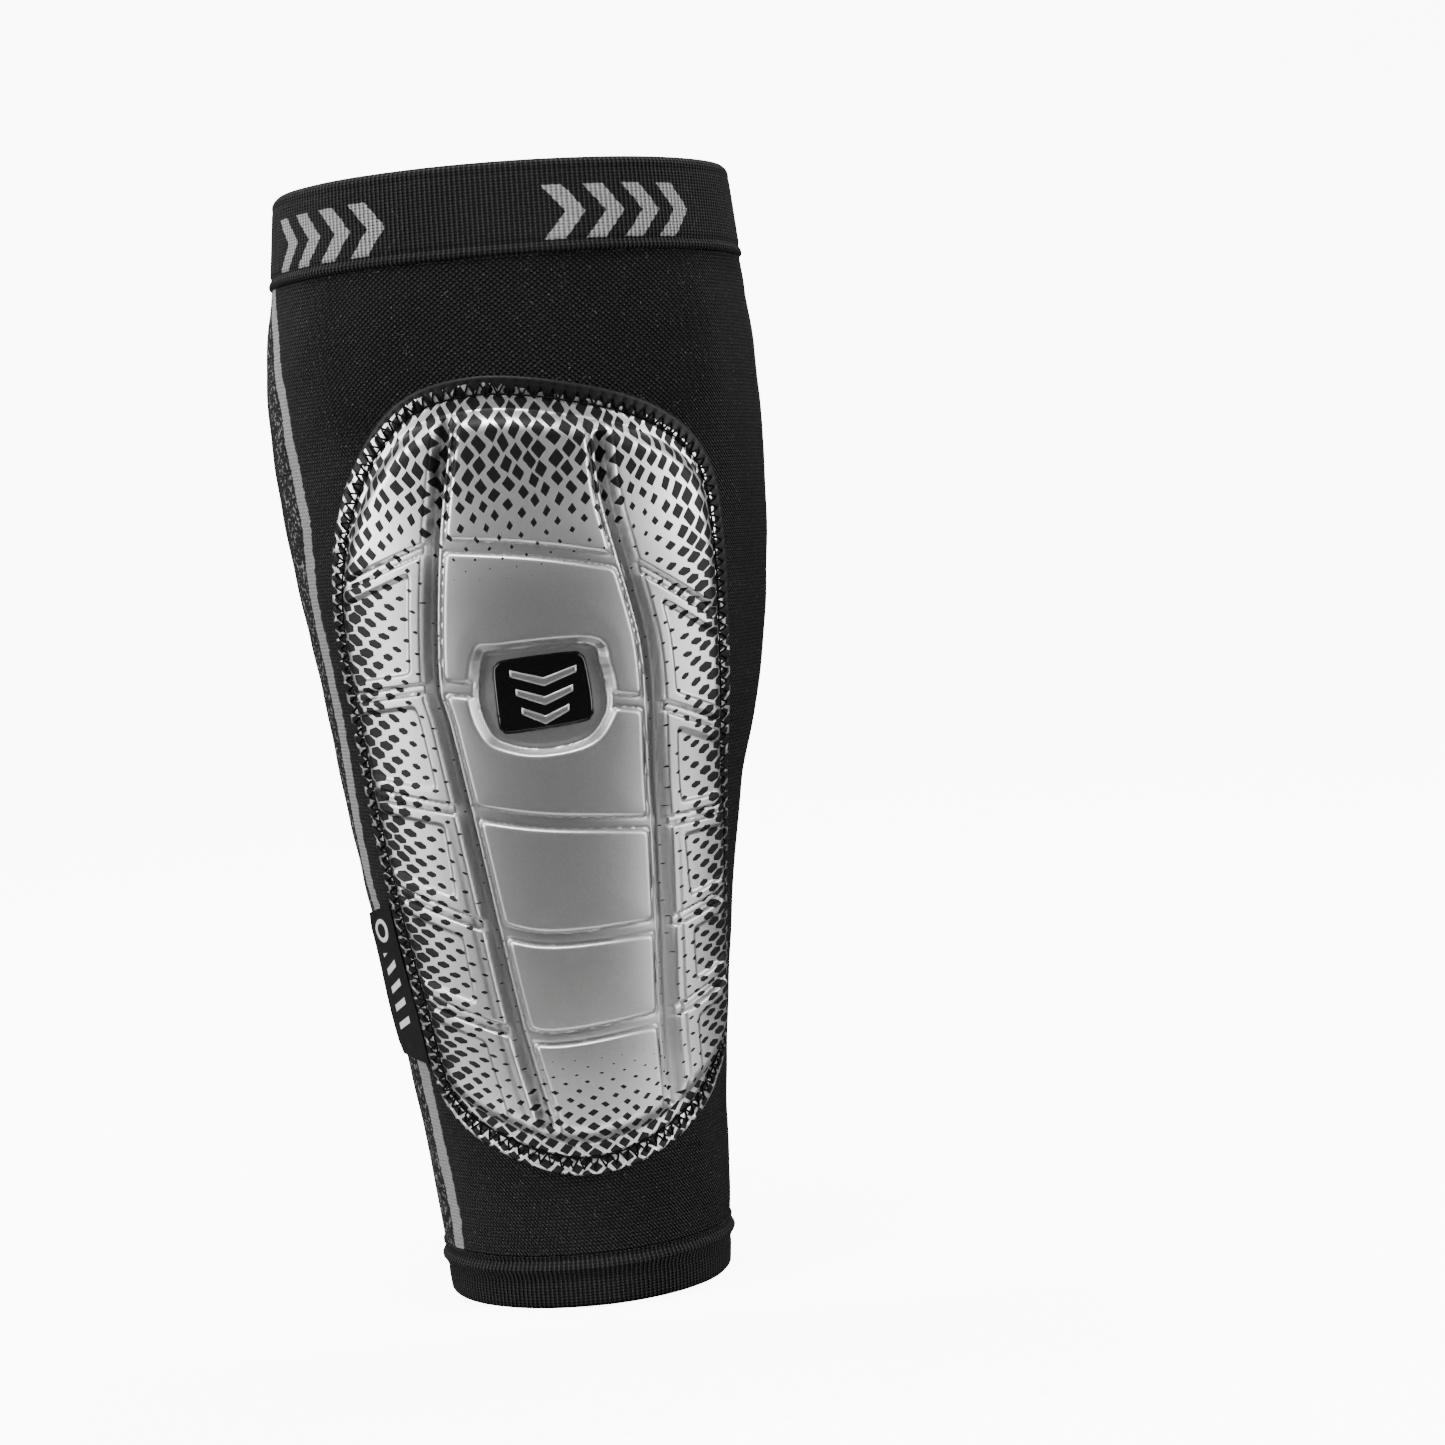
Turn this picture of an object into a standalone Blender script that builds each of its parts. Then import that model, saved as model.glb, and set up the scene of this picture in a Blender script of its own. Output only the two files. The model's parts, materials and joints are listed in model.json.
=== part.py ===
"""Compression-sleeve shin guard for one leg: a knit tube with a segmented foam pad on its front.

The origin is the centre of the ankle opening. +Z runs up the leg, the pad faces -Y, and +X is
to the right of someone who looks at the pad. Sizes are in millimetres until a mesh is made.

A place on the pad is (s, z, h): s runs round the leg from the front line, positive to +X, z is
the height, and h is the distance out from the sleeve's outer face.
"""

import math

import bmesh
import bpy
from mathutils import Vector
from mathutils.geometry import delaunay_2d_cdt

MM = 0.001

# The tube.
HEIGHT = 280.0
TOP_CUFF_HEIGHT = 22.5
BOTTOM_CUFF_HEIGHT = 13.0
KNIT = 1.2
CUFF_PROUD = 0.5
CUFF_KNIT = 2.2
TUBE_SIDES = 40
RING_SPACING = 20.0

# The leg's form: height, half width, sideways shift, front depth, back depth, front line's y.
LEG = (
    (0, 35.4, 0.0, 35.5, 37.0, -35.5),
    (16, 37.0, 0.0, 36.0, 37.0, -35.5),
    (48, 39.8, -1.0, 38.0, 40.0, -36.5),
    (94, 45.8, -2.0, 42.0, 48.0, -38.5),
    (125, 51.0, -1.5, 45.0, 54.0, -39.5),
    (149, 55.4, 0.0, 47.5, 58.0, -40.5),
    (181, 60.0, 0.0, 50.0, 62.0, -41.5),
    (212, 62.6, -0.5, 51.5, 63.5, -42.0),
    (239, 62.2, -0.8, 51.5, 62.5, -42.0),
    (260, 59.5, -0.3, 50.5, 60.0, -41.5),
    (280, 57.6, 0.0, 50.0, 58.0, -41.5),
)

# The pad's outer edge, clockwise from the top, as (s, z) points of a smooth closed curve.
PAD_EDGE = (
    (-10, 229), (10, 226.5), (32, 219), (45.5, 206), (49, 185), (49, 145), (51, 105),
    (49.5, 66), (41, 50), (22, 37.5), (1, 33), (-19, 40), (-34, 52.5), (-39, 76),
    (-46.5, 120), (-52.5, 160), (-50.5, 186), (-41, 208), (-27, 224),
)
EDGE_STEPS = 4
FLANGE_AT_SIDES = 5.8
FLANGE_AT_ENDS = 8.2

# The two long grooves, as (z, s), and the cross grooves' heights at the left dome edge, the
# left long groove, the front line, the right long groove and the right dome edge.
LEFT_GROOVE = ((219, -14.5), (188, -20.0), (158, -22.8), (146, -21.0), (125, -16.8),
               (100, -13.1), (70, -9.4), (47, -5.5))
RIGHT_GROOVE = ((212, 17.2), (197, 17.7), (172, 22.1), (160, 23.7), (140, 24.2),
                (116, 25.0), (92, 24.6), (69, 23.4), (49, 23.2))
CROSS_GROOVES = {
    "above_emblem": (179.0, 189.5, 186.5, 181.5, 163.0),
    "emblem": (153.5, 155.5, 151.5, 147.0, 137.5),
    "below_emblem": (132.0, 125.0, 121.0, 118.0, 120.0),
    "middle": (109.5, 96.0, 92.5, 93.0, 100.5),
    "lower": (82.5, 69.7, 68.2, 70.5, 81.0),
}
GROOVE_HALF_WIDTH = 1.5
PAST_PAD = 70.0
BLOCK_SLOPE = 1.0
CORNER = 1.8
CLEAR_CORNER = 0.8
BLUNT_END = 5.0
GROOVE_POINT_CLEAR = 4.0
OUTLINE_LEAN = 9.0
BESIDE_CORNER = 2.0
FOAM_CLEAR = 0.5
CROWDED = 3.0
FOAM_SPACED = 1.6
SLIVER = 0.0005
ON_RIM = 0.02

# The emblem: a rounded four-sided frame with a badge in it, in (s, z).
EMBLEM_FRAME = ((-13.0, 163.2), (12.0, 163.2), (13.8, 141.5), (-0.5, 138.0), (-13.2, 143.5))
BADGE = ((-10.3, 160.4), (8.9, 161.0), (10.6, 145.0), (-9.3, 143.2))
FRAME_GAP = 0.4
BAY_ABOVE = 2.0
BAY_BELOW = 1.5
BADGE_RISE = 1.0

# The layers of the pad, as h.
GAP = 0.3
BACKING = (0.4, 1.1)
FOAM = (1.4, 6.3)
EMBLEM_FOAM_TOP = 2.9
FILM = 0.7
FILM_LOW = 1.4
THREAD = 0.5
STITCH_BAND = (1.3, 4.6)
FACET_WIDTH = 9.0
FACET_HEIGHT = 18.0

# The woven label: its sewn edge and its free outline, in (s, z).
LABEL_HINGE = ((-44.9, 101.8), (-38.1, 61.4))
LABEL_FREE = ((-50.0, 63.6), (-51.6, 66.5), (-56.6, 95.0), (-56.0, 98.4))
LABEL = (0.7, 1.4)

# The rows of the pad, from the top, with the cross groove under each one. The blocks of a row
# lie between two cross grooves.
ROWS = (
    ("top", None, "above_emblem"),
    ("emblem", "above_emblem", "below_emblem"),
    ("middle", "below_emblem", "middle"),
    ("lower", "middle", "lower"),
    ("bottom", "lower", None),
)
BLOCK_ROWS = (
    ("top", None, "above_emblem"),
    ("above_emblem", "above_emblem", "emblem"),
    ("below_emblem", "emblem", "below_emblem"),
    ("middle", "below_emblem", "middle"),
    ("lower", "middle", "lower"),
    ("bottom", "lower", None),
)


# ---------------------------------------------------------------- curves and the leg's form

def between(table, x):
    """Value of a table of (x, value) pairs at x, straight between its points."""
    pairs = sorted(table)
    if x <= pairs[0][0]:
        return pairs[0][1]
    for (x0, v0), (x1, v1) in zip(pairs, pairs[1:]):
        if x <= x1:
            return v0 + (v1 - v0) * (x - x0) / (x1 - x0)
    return pairs[-1][1]


def hermite(x0, v0, m0, x1, v1, m1, x):
    """Cubic from v0 to v1 with slopes m0 and m1."""
    span = x1 - x0
    t = (x - x0) / span
    return (
        v0 * (2 * t**3 - 3 * t**2 + 1)
        + m0 * span * (t**3 - 2 * t**2 + t)
        + v1 * (3 * t**2 - 2 * t**3)
        + m1 * span * (t**3 - t**2)
    )


def leg(z):
    """(half width, shift, front depth, back depth, front y) of the leg at height z."""
    z = min(max(z, LEG[0][0]), LEG[-1][0])
    i = max(k for k in range(len(LEG) - 1) if LEG[k][0] <= z)
    found = []
    for column in range(1, 6):
        slopes = []
        for k in (i, i + 1):
            low, high = LEG[max(k - 1, 0)], LEG[min(k + 1, len(LEG) - 1)]
            slopes.append((high[column] - low[column]) / (high[0] - low[0]))
        found.append(hermite(LEG[i][0], LEG[i][column], slopes[0],
                             LEG[i + 1][0], LEG[i + 1][column], slopes[1], z))
    return found


def on_leg(angle, z, h):
    """Point at an angle round the leg from the front line, h out from the sleeve's face."""
    half_width, shift, front, back, front_y = leg(z)
    depth = front if math.cos(angle) > 0 else back
    normal = Vector((math.sin(angle) / half_width, -math.cos(angle) / depth, 0)).normalized()
    point = Vector((shift + half_width * math.sin(angle), front_y + front - depth * math.cos(angle), z))
    return (point + normal * h) * MM


def on_pad(s, z, h):
    half_width, _, front, _, _ = leg(z)
    return on_leg(2 * s / (half_width + front), z, h)


def smooth_loop(points, steps):
    """Closed Catmull-Rom curve through the points."""
    count = len(points)
    loop = []
    for i in range(count):
        p = [Vector(points[(i + k) % count]) for k in (-1, 0, 1, 2)]
        for step in range(steps):
            t = step / steps
            loop.append(0.5 * (2 * p[1] + (p[2] - p[0]) * t + (2 * p[0] - 5 * p[1] + 4 * p[2] - p[3]) * t**2
                               + (3 * p[1] - p[0] - 3 * p[2] + p[3]) * t**3))
    return loop


def signed_area(loop):
    return 0.5 * sum(a.x * b.y - b.x * a.y for a, b in zip(loop, loop[1:] + loop[:1]))


def anticlockwise(loop):
    return loop if signed_area(loop) > 0 else loop[::-1]


def inset(loop, distance):
    """The loop moved inwards by distance(direction), each side parallel to where it was."""
    loop = anticlockwise([Vector(p) for p in loop])
    moved = []
    for before, here, after in zip(loop[-1:] + loop[:-1], loop, loop[1:] + loop[:1]):
        first = (here - before).normalized()
        second = (after - here).normalized()
        inward = Vector((-first.y - second.y, first.x + second.x)).normalized()
        half = math.sqrt(max(0.25, (1 + first.dot(second)) / 2))
        moved.append(here + inward * distance(inward) / half)
    return moved


def rounded(loop, radius):
    """The loop with each clear corner cut back to two points, which reads as a radius."""
    result = []
    for before, here, after in zip(loop[-1:] + loop[:-1], loop, loop[1:] + loop[:1]):
        first, second = here - before, after - here
        if first.length < 1e-6 or second.length < 1e-6:
            continue
        if first.normalized().dot(second.normalized()) > CLEAR_CORNER:
            result.append(here)
            continue
        result.append(here - first.normalized() * min(radius, first.length * 0.45))
        result.append(here + second.normalized() * min(radius, second.length * 0.45))
    return result


def inside(loop, s, z):
    """Whether (s, z) is inside the loop."""
    found = False
    for a, b in zip(loop, loop[1:] + loop[:1]):
        if (a.y > z) != (b.y > z) and s < a.x + (b.x - a.x) * (z - a.y) / (b.y - a.y):
            found = not found
    return found


def flange_width(inward):
    return FLANGE_AT_SIDES + (FLANGE_AT_ENDS - FLANGE_AT_SIDES) * abs(inward.y) ** 2


EDGE = anticlockwise(smooth_loop(PAD_EDGE, EDGE_STEPS))
DOME = inset(EDGE, flange_width)


def dome_side(z, side):
    """s of the dome's edge at height z, on the left (-1) or right (1)."""
    found = []
    for a, b in zip(DOME, DOME[1:] + DOME[:1]):
        if (a.y > z) != (b.y > z):
            found.append(a.x + (b.x - a.x) * (z - a.y) / (b.y - a.y))
    return min(found) if side < 0 else max(found)


def cross_points(name):
    """A cross groove's line as (s, z) points, from far left to far right."""
    far_left, left, middle, right, far_right = CROSS_GROOVES[name]
    return [
        (-PAST_PAD, far_left),
        (dome_side(far_left, -1), far_left),
        (between(LEFT_GROOVE, left), left),
        (0.0, middle),
        (between(RIGHT_GROOVE, right), right),
        (dome_side(far_right, 1), far_right),
        (PAST_PAD, far_right),
    ]


def cross_height(name, s):
    return between(cross_points(name), s)


def in_row(upper, lower, s, z, gap):
    """Whether (s, z) is between two cross grooves, half a gap clear of each."""
    if upper and z > cross_height(upper, s) - gap / 2:
        return False
    return not (lower and z < cross_height(lower, s) + gap / 2)


# ---------------------------------------------------------------- the blocks' outlines

def dome_run(start, end):
    """Points of the dome's edge from near start to near end, the short way round."""
    count = len(DOME)
    nearest = [min(range(count), key=lambda i, p=p: (DOME[i] - Vector(p)).length) for p in (start, end)]
    forward = (nearest[1] - nearest[0]) % count
    if forward <= count // 2:
        return [DOME[(nearest[0] + k) % count] for k in range(forward + 1)]
    return [DOME[(nearest[0] - k) % count] for k in range(count - forward + 1)]


def dome_between(start, end):
    """The dome's edge between the ends of the two long grooves, clear of both."""
    low, high = sorted((start[0], end[0]))
    return [p for p in dome_run(start, end) if low + BLUNT_END / 2 < p.x < high - BLUNT_END / 2]


def groove_run(groove, z0, z1):
    """Points of a long groove from height z0 to z1."""
    low, high = sorted((z0, z1))
    inner = sorted(z for z, _ in groove if low + GROOVE_POINT_CLEAR < z < high - GROOVE_POINT_CLEAR)
    heights = [z0] + (inner if z1 > z0 else inner[::-1]) + [z1]
    return [(between(groove, z), z) for z in heights]


def centre_region(upper, lower):
    """Outline of a centre plate's share of the pad, before the grooves are taken off it."""
    top_left = CROSS_GROOVES[upper][1] if upper else LEFT_GROOVE[0][0]
    top_right = CROSS_GROOVES[upper][3] if upper else RIGHT_GROOVE[0][0]
    low_left = CROSS_GROOVES[lower][1] if lower else LEFT_GROOVE[-1][0]
    low_right = CROSS_GROOVES[lower][3] if lower else RIGHT_GROOVE[-1][0]
    left = groove_run(LEFT_GROOVE, low_left, top_left)
    right = groove_run(RIGHT_GROOVE, top_right, low_right)
    top = [(0.0, CROSS_GROOVES[upper][2])] if upper else dome_between(left[-1], right[0])
    low = [(0.0, CROSS_GROOVES[lower][2])] if lower else dome_between(right[-1], left[0])
    return left + top + right + low


def side_region(upper, lower, side):
    """Outline of a side segment's share of the pad, on the left (-1) or right (1)."""
    groove, at_groove, at_edge = (LEFT_GROOVE, 1, 0) if side < 0 else (RIGHT_GROOVE, 3, 4)
    top = CROSS_GROOVES[upper][at_groove] if upper else groove[0][0] - BLUNT_END / 2
    low = CROSS_GROOVES[lower][at_groove] if lower else groove[-1][0] + BLUNT_END / 2
    inner = groove_run(groove, low, top)
    if upper:
        outer_top = (dome_side(CROSS_GROOVES[upper][at_edge], side), CROSS_GROOVES[upper][at_edge])
    else:
        outer_top = inner[-1]
    if lower:
        outer_low = (dome_side(CROSS_GROOVES[lower][at_edge], side), CROSS_GROOVES[lower][at_edge])
    else:
        outer_low = inner[0]
    outer = [p for p in dome_run(outer_top, outer_low)
             if outer_low[1] - OUTLINE_LEAN < p.y < outer_top[1] + OUTLINE_LEAN]
    if upper:
        outer = [Vector(outer_top)] + [p for p in outer if p.y < outer_top[1] - BESIDE_CORNER]
    else:
        outer = [p for p in outer if abs(p.x - outer_top[0]) > BLUNT_END]
    if lower:
        outer = [p for p in outer if p.y > outer_low[1] + BESIDE_CORNER] + [Vector(outer_low)]
    else:
        outer = [p for p in outer if abs(p.x - outer_low[0]) > BLUNT_END]
    return inner + outer


def around_emblem(region, above):
    """A centre plate's outline with a bay for the emblem's frame in its edge."""
    middle = CROSS_GROOVES["emblem"][2]
    frame = [Vector(p) for p in EMBLEM_FRAME]
    left = (frame[4].x, middle + BAY_ABOVE)
    right = (frame[2].x, middle - BAY_BELOW)
    bay = [right, frame[1], frame[0], left] if above else [left, frame[4], frame[3], frame[2], right]
    at = region.index((0.0, middle))
    return region[:at] + bay + region[at + 1:]


def spaced(loop, least):
    """The loop without points that crowd the one before."""
    kept = []
    for point in map(Vector, loop):
        if not kept or (point - kept[-1]).length > least:
            kept.append(point)
    if (kept[0] - kept[-1]).length <= least:
        kept.pop()
    return kept


def block_regions():
    """Name of each foam block to the outline of its foot, with the grooves taken off."""
    regions = {}
    for name, upper, lower in BLOCK_ROWS:
        centre = centre_region(upper, lower)
        if name == "above_emblem":
            centre = around_emblem(centre, True)
        if name == "below_emblem":
            centre = around_emblem(centre, False)
        regions[f"foam_center_{name}"] = centre
        regions[f"foam_left_{name}"] = side_region(upper, lower, -1)
        regions[f"foam_right_{name}"] = side_region(upper, lower, 1)
    feet = {}
    for name, region in regions.items():
        feet[name] = inset(spaced(region, CROWDED), lambda inward: GROOVE_HALF_WIDTH)
    feet["foam_emblem"] = inset([Vector(p) for p in EMBLEM_FRAME], lambda inward: FRAME_GAP)
    return feet


FEET = block_regions()
TOPS = {name: rounded(inset(foot, lambda inward: BLOCK_SLOPE), CORNER) for name, foot in FEET.items()}


def block_row(name):
    """The row of the pad that a block belongs to."""
    place = name.split("_", 2)[-1]
    return "emblem" if "emblem" in place else place


# ---------------------------------------------------------------- meshes

def new_object(name, bm, material, origin=None):
    """Object of the bmesh, with its faces out and its origin at a given place."""
    bmesh.ops.recalc_face_normals(bm, faces=bm.faces)
    mesh = bpy.data.meshes.new(name)
    if origin is not None:
        bmesh.ops.translate(bm, verts=bm.verts, vec=-origin)
    bm.to_mesh(mesh)
    bm.free()
    mesh.materials.append(material)
    obj = bpy.data.objects.new(name, mesh)
    if origin is not None:
        obj.location = origin
    bpy.context.scene.collection.objects.link(obj)
    mesh.shade_smooth()
    mesh.set_sharp_from_angle(angle=math.radians(35))
    return obj


def tube(name, z0, z1, outer, inner, material):
    """A band of the tube between two heights, with an open way through it."""
    rings = max(1, math.ceil((z1 - z0) / RING_SPACING))
    bm = bmesh.new()
    loops = []
    for h, order in ((outer, range(rings + 1)), (inner, range(rings, -1, -1))):
        for k in order:
            z = z0 + (z1 - z0) * k / rings
            loops.append([bm.verts.new(on_leg(2 * math.pi * i / TUBE_SIDES - math.pi, z, h))
                          for i in range(TUBE_SIDES)])
    for low, high in zip(loops, loops[1:] + loops[:1]):
        for i in range(TUBE_SIDES):
            j = (i + 1) % TUBE_SIDES
            bm.faces.new((low[i], low[j], high[j], high[i]))
    return new_object(name, bm, material)


def face_area(verts, face):
    return abs(signed_area([verts[i] for i in face]))


def largest_patch(faces):
    """The faces of the largest patch that is joined edge to edge."""
    by_edge = {}
    for number, face in enumerate(faces):
        for a, b in zip(face, face[1:] + face[:1]):
            by_edge.setdefault(frozenset((a, b)), []).append(number)
    left = set(range(len(faces)))
    best = []
    while left:
        patch, edge_of = [], [left.pop()]
        while edge_of:
            number = edge_of.pop()
            patch.append(number)
            face = faces[number]
            for a, b in zip(face, face[1:] + face[:1]):
                for other in by_edge[frozenset((a, b))]:
                    if other in left:
                        left.remove(other)
                        edge_of.append(other)
        best = max(best, patch, key=len)
    return [faces[number] for number in sorted(best)]


def triangulated(lines, keep):
    """Points and triangles of the area where keep(s, z) holds, with edges along the lines.

    Lines across and up the pad are added, so that the flat facets follow the leg's form.
    """
    points = [p for line, _ in lines for p in line]
    low_s, high_s = min(p[0] for p in points), max(p[0] for p in points)
    low_z, high_z = min(p[1] for p in points), max(p[1] for p in points)
    lines = list(lines)
    for k in range(math.ceil(low_s / FACET_WIDTH), math.floor(high_s / FACET_WIDTH) + 1):
        lines.append(([(k * FACET_WIDTH, low_z), (k * FACET_WIDTH, high_z)], False))
    for k in range(math.ceil(low_z / FACET_HEIGHT), math.floor(high_z / FACET_HEIGHT) + 1):
        lines.append(([(low_s, k * FACET_HEIGHT), (high_s, k * FACET_HEIGHT)], False))
    verts, edges = [], []
    for line, closed in lines:
        first = len(verts)
        verts.extend(Vector((p[0], p[1])) for p in line)
        edges.extend((i, i + 1) for i in range(first, len(verts) - 1))
        if closed:
            edges.append((len(verts) - 1, first))
    verts, _, faces, _, _, _ = delaunay_2d_cdt(verts, edges, [], 0, 1e-3)
    kept = []
    for face in faces:
        centre = sum((verts[i] for i in face), Vector((0, 0))) / len(face)
        if keep(centre.x, centre.y) and face_area(verts, face) > SLIVER:
            kept.append(tuple(face))
    return verts, largest_patch(kept)


def slab(name, lines, keep, bottom, top, material, origin=None):
    """Closed solid over an area of the pad, between the heights bottom(s, z) and top(s, z)."""
    points, faces = triangulated(lines, keep)
    bm = bmesh.new()
    used = sorted({i for face in faces for i in face})
    low = {i: bm.verts.new(on_pad(*points[i], bottom(*points[i]))) for i in used}
    high = {i: bm.verts.new(on_pad(*points[i], top(*points[i]))) for i in used}
    sides = {}
    for a, b, c in faces:
        bm.faces.new((low[a], low[b], low[c]))
        bm.faces.new((high[c], high[b], high[a]))
        for start, end in ((a, b), (b, c), (c, a)):
            if (end, start) in sides:
                del sides[end, start]
            else:
                sides[start, end] = True
    for start, end in sides:
        bm.faces.new((low[end], low[start], high[start], high[end]))
    return new_object(name, bm, material, origin)


def row_lines(upper, lower, gap):
    """The cut lines over and under a row, each half a gap off the cross groove's line."""
    lines = []
    if upper:
        lines.append(([(s, z - gap / 2) for s, z in cross_points(upper)], False))
    if lower:
        lines.append(([(s, z + gap / 2) for s, z in cross_points(lower)], False))
    return lines


def foam_top(name):
    """How high a foam block stands: the one under the emblem is a low one."""
    return EMBLEM_FOAM_TOP if name == "foam_emblem" else FOAM[1]


def film_underside(s, z):
    """The film's underside: over a block on its top, rim included, and low everywhere else."""
    for name, loop in TOPS.items():
        if inside(loop, s, z):
            return foam_top(name) + GAP
        for a, b in zip(loop, loop[1:] + loop[:1]):
            along = b - a
            t = min(1, max(0, (Vector((s, z)) - a).dot(along) / along.length_squared))
            if (a + along * t - Vector((s, z))).length < ON_RIM:
                return foam_top(name) + GAP
    return FILM_LOW


# ---------------------------------------------------------------- materials

def material(name, color, roughness, metallic=0.0):
    made = bpy.data.materials.new(name)
    made.use_nodes = True
    shader = made.node_tree.nodes["Principled BSDF"]
    shader.inputs["Base Color"].default_value = (*color, 1.0)
    shader.inputs["Roughness"].default_value = roughness
    shader.inputs["Metallic"].default_value = metallic
    made.diffuse_color = (*color, 1.0)
    return made


def knit_material():
    return material("black_knit", (0.012, 0.012, 0.013), 0.85)


def cuff_material():
    return material("ribbed_knit", (0.015, 0.015, 0.016), 0.8)


def backing_material():
    return material("backing_fabric", (0.02, 0.02, 0.021), 0.9)


def foam_material():
    return material("pad_foam", (0.05, 0.05, 0.052), 0.9)


def film_material():
    return material("silver_film", (0.55, 0.55, 0.56), 0.35, 0.6)


def thread_material():
    return material("black_thread", (0.01, 0.01, 0.01), 0.6)


def badge_material():
    return material("badge_gloss", (0.008, 0.008, 0.009), 0.12)


def label_material():
    return material("woven_label", (0.014, 0.014, 0.015), 0.7)


# ---------------------------------------------------------------- the sub-parts

def make_sleeve():
    """The knit tube, cut into a band for each row of the pad."""
    knit = knit_material()
    for name, upper, lower in ROWS:
        z1 = CROSS_GROOVES[upper][2] - GAP / 2 if upper else HEIGHT - TOP_CUFF_HEIGHT - GAP
        z0 = CROSS_GROOVES[lower][2] + GAP / 2 if lower else BOTTOM_CUFF_HEIGHT + GAP
        tube(f"sleeve_{name}", z0, z1, 0.0, -KNIT, knit)


def make_cuffs():
    rib = cuff_material()
    inner = CUFF_PROUD - CUFF_KNIT
    tube("bottom_cuff", 0.0, BOTTOM_CUFF_HEIGHT, CUFF_PROUD, inner, rib)
    tube("top_cuff", HEIGHT - TOP_CUFF_HEIGHT, HEIGHT, CUFF_PROUD, inner, rib)


def make_backing():
    """The layer that the foam lies on, one piece for each row."""
    fabric = backing_material()
    for name, upper, lower in ROWS:
        slab(f"backing_{name}", [(EDGE, True)] + row_lines(upper, lower, GAP),
             lambda s, z: inside(EDGE, s, z) and in_row(upper, lower, s, z, GAP),
             lambda s, z: BACKING[0], lambda s, z: BACKING[1], fabric)


def make_foam():
    foam = foam_material()
    for name, top in TOPS.items():
        outline = inset(spaced(top, FOAM_SPACED), lambda inward: FOAM_CLEAR)
        slab(name, [(outline, True)], lambda s, z: inside(outline, s, z),
             lambda s, z: FOAM[0], lambda s, z, name=name: foam_top(name), foam)


def make_film():
    """The moulded film, low in the grooves and on the flange and high over each block."""
    film = film_material()
    for name, upper, lower in ROWS:
        lines = [(EDGE, True)] + row_lines(upper, lower, GAP)
        for block in TOPS:
            if block_row(block) == name:
                lines += [(TOPS[block], True), (FEET[block], True)]
        slab(f"film_{name}", lines,
             lambda s, z: inside(EDGE, s, z) and in_row(upper, lower, s, z, GAP),
             film_underside, lambda s, z: film_underside(s, z) + FILM, film)


def make_stitching():
    """The band that the edge stitching covers: round each end, and down both sides of a row."""
    thread = thread_material()
    outer = inset(EDGE, lambda inward: STITCH_BAND[0])
    inner = inset(EDGE, lambda inward: STITCH_BAND[1])
    low = FILM_LOW + FILM + GAP
    for name, upper, lower in ROWS:
        at_end = not (upper and lower)
        for side, sign in ((("", 0),) if at_end else (("_left", -1), ("_right", 1))):
            slab(f"stitching_{name}{side}", [(outer, True), (inner, True)] + row_lines(upper, lower, GAP),
                 lambda s, z, sign=sign: (inside(outer, s, z) and not inside(inner, s, z)
                                          and in_row(upper, lower, s, z, GAP) and s * sign >= 0),
                 lambda s, z: low, lambda s, z: low + THREAD, thread)


def make_badge():
    outline = rounded([Vector(p) for p in BADGE], CORNER)
    low = EMBLEM_FOAM_TOP + FILM + 2 * GAP
    slab("emblem_badge", [(outline, True)], lambda s, z: inside(outline, s, z),
         lambda s, z: low, lambda s, z: low + BADGE_RISE, badge_material())


def make_label():
    """The woven label, with its origin on its sewn edge."""
    outline = [Vector(p) for p in LABEL_HINGE + LABEL_FREE]
    hinge = (on_pad(*LABEL_HINGE[0], LABEL[0]) + on_pad(*LABEL_HINGE[1], LABEL[0])) / 2
    slab("woven_label", [(outline, True)], lambda s, z: inside(outline, s, z),
         lambda s, z: LABEL[0], lambda s, z: LABEL[1], label_material(), hinge)


def main():
    for obj in list(bpy.data.objects):
        bpy.data.objects.remove(obj)
    make_sleeve()
    make_cuffs()
    make_backing()
    make_foam()
    make_film()
    make_stitching()
    make_badge()
    make_label()


main()
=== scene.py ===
"""The looks of the shin guard: knit sleeve and cuffs, moulded film over foam, stitching, badge, label.

Sizes are in millimetres until a mesh is made. A place on the pad is (s, z, h): s runs round the
leg from the front line, positive to +X, z is the height, and h is the distance out from the
sleeve's outer face.
"""

import json
import math

import bmesh
import bpy
import numpy as np
from mathutils import Matrix, Vector

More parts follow.
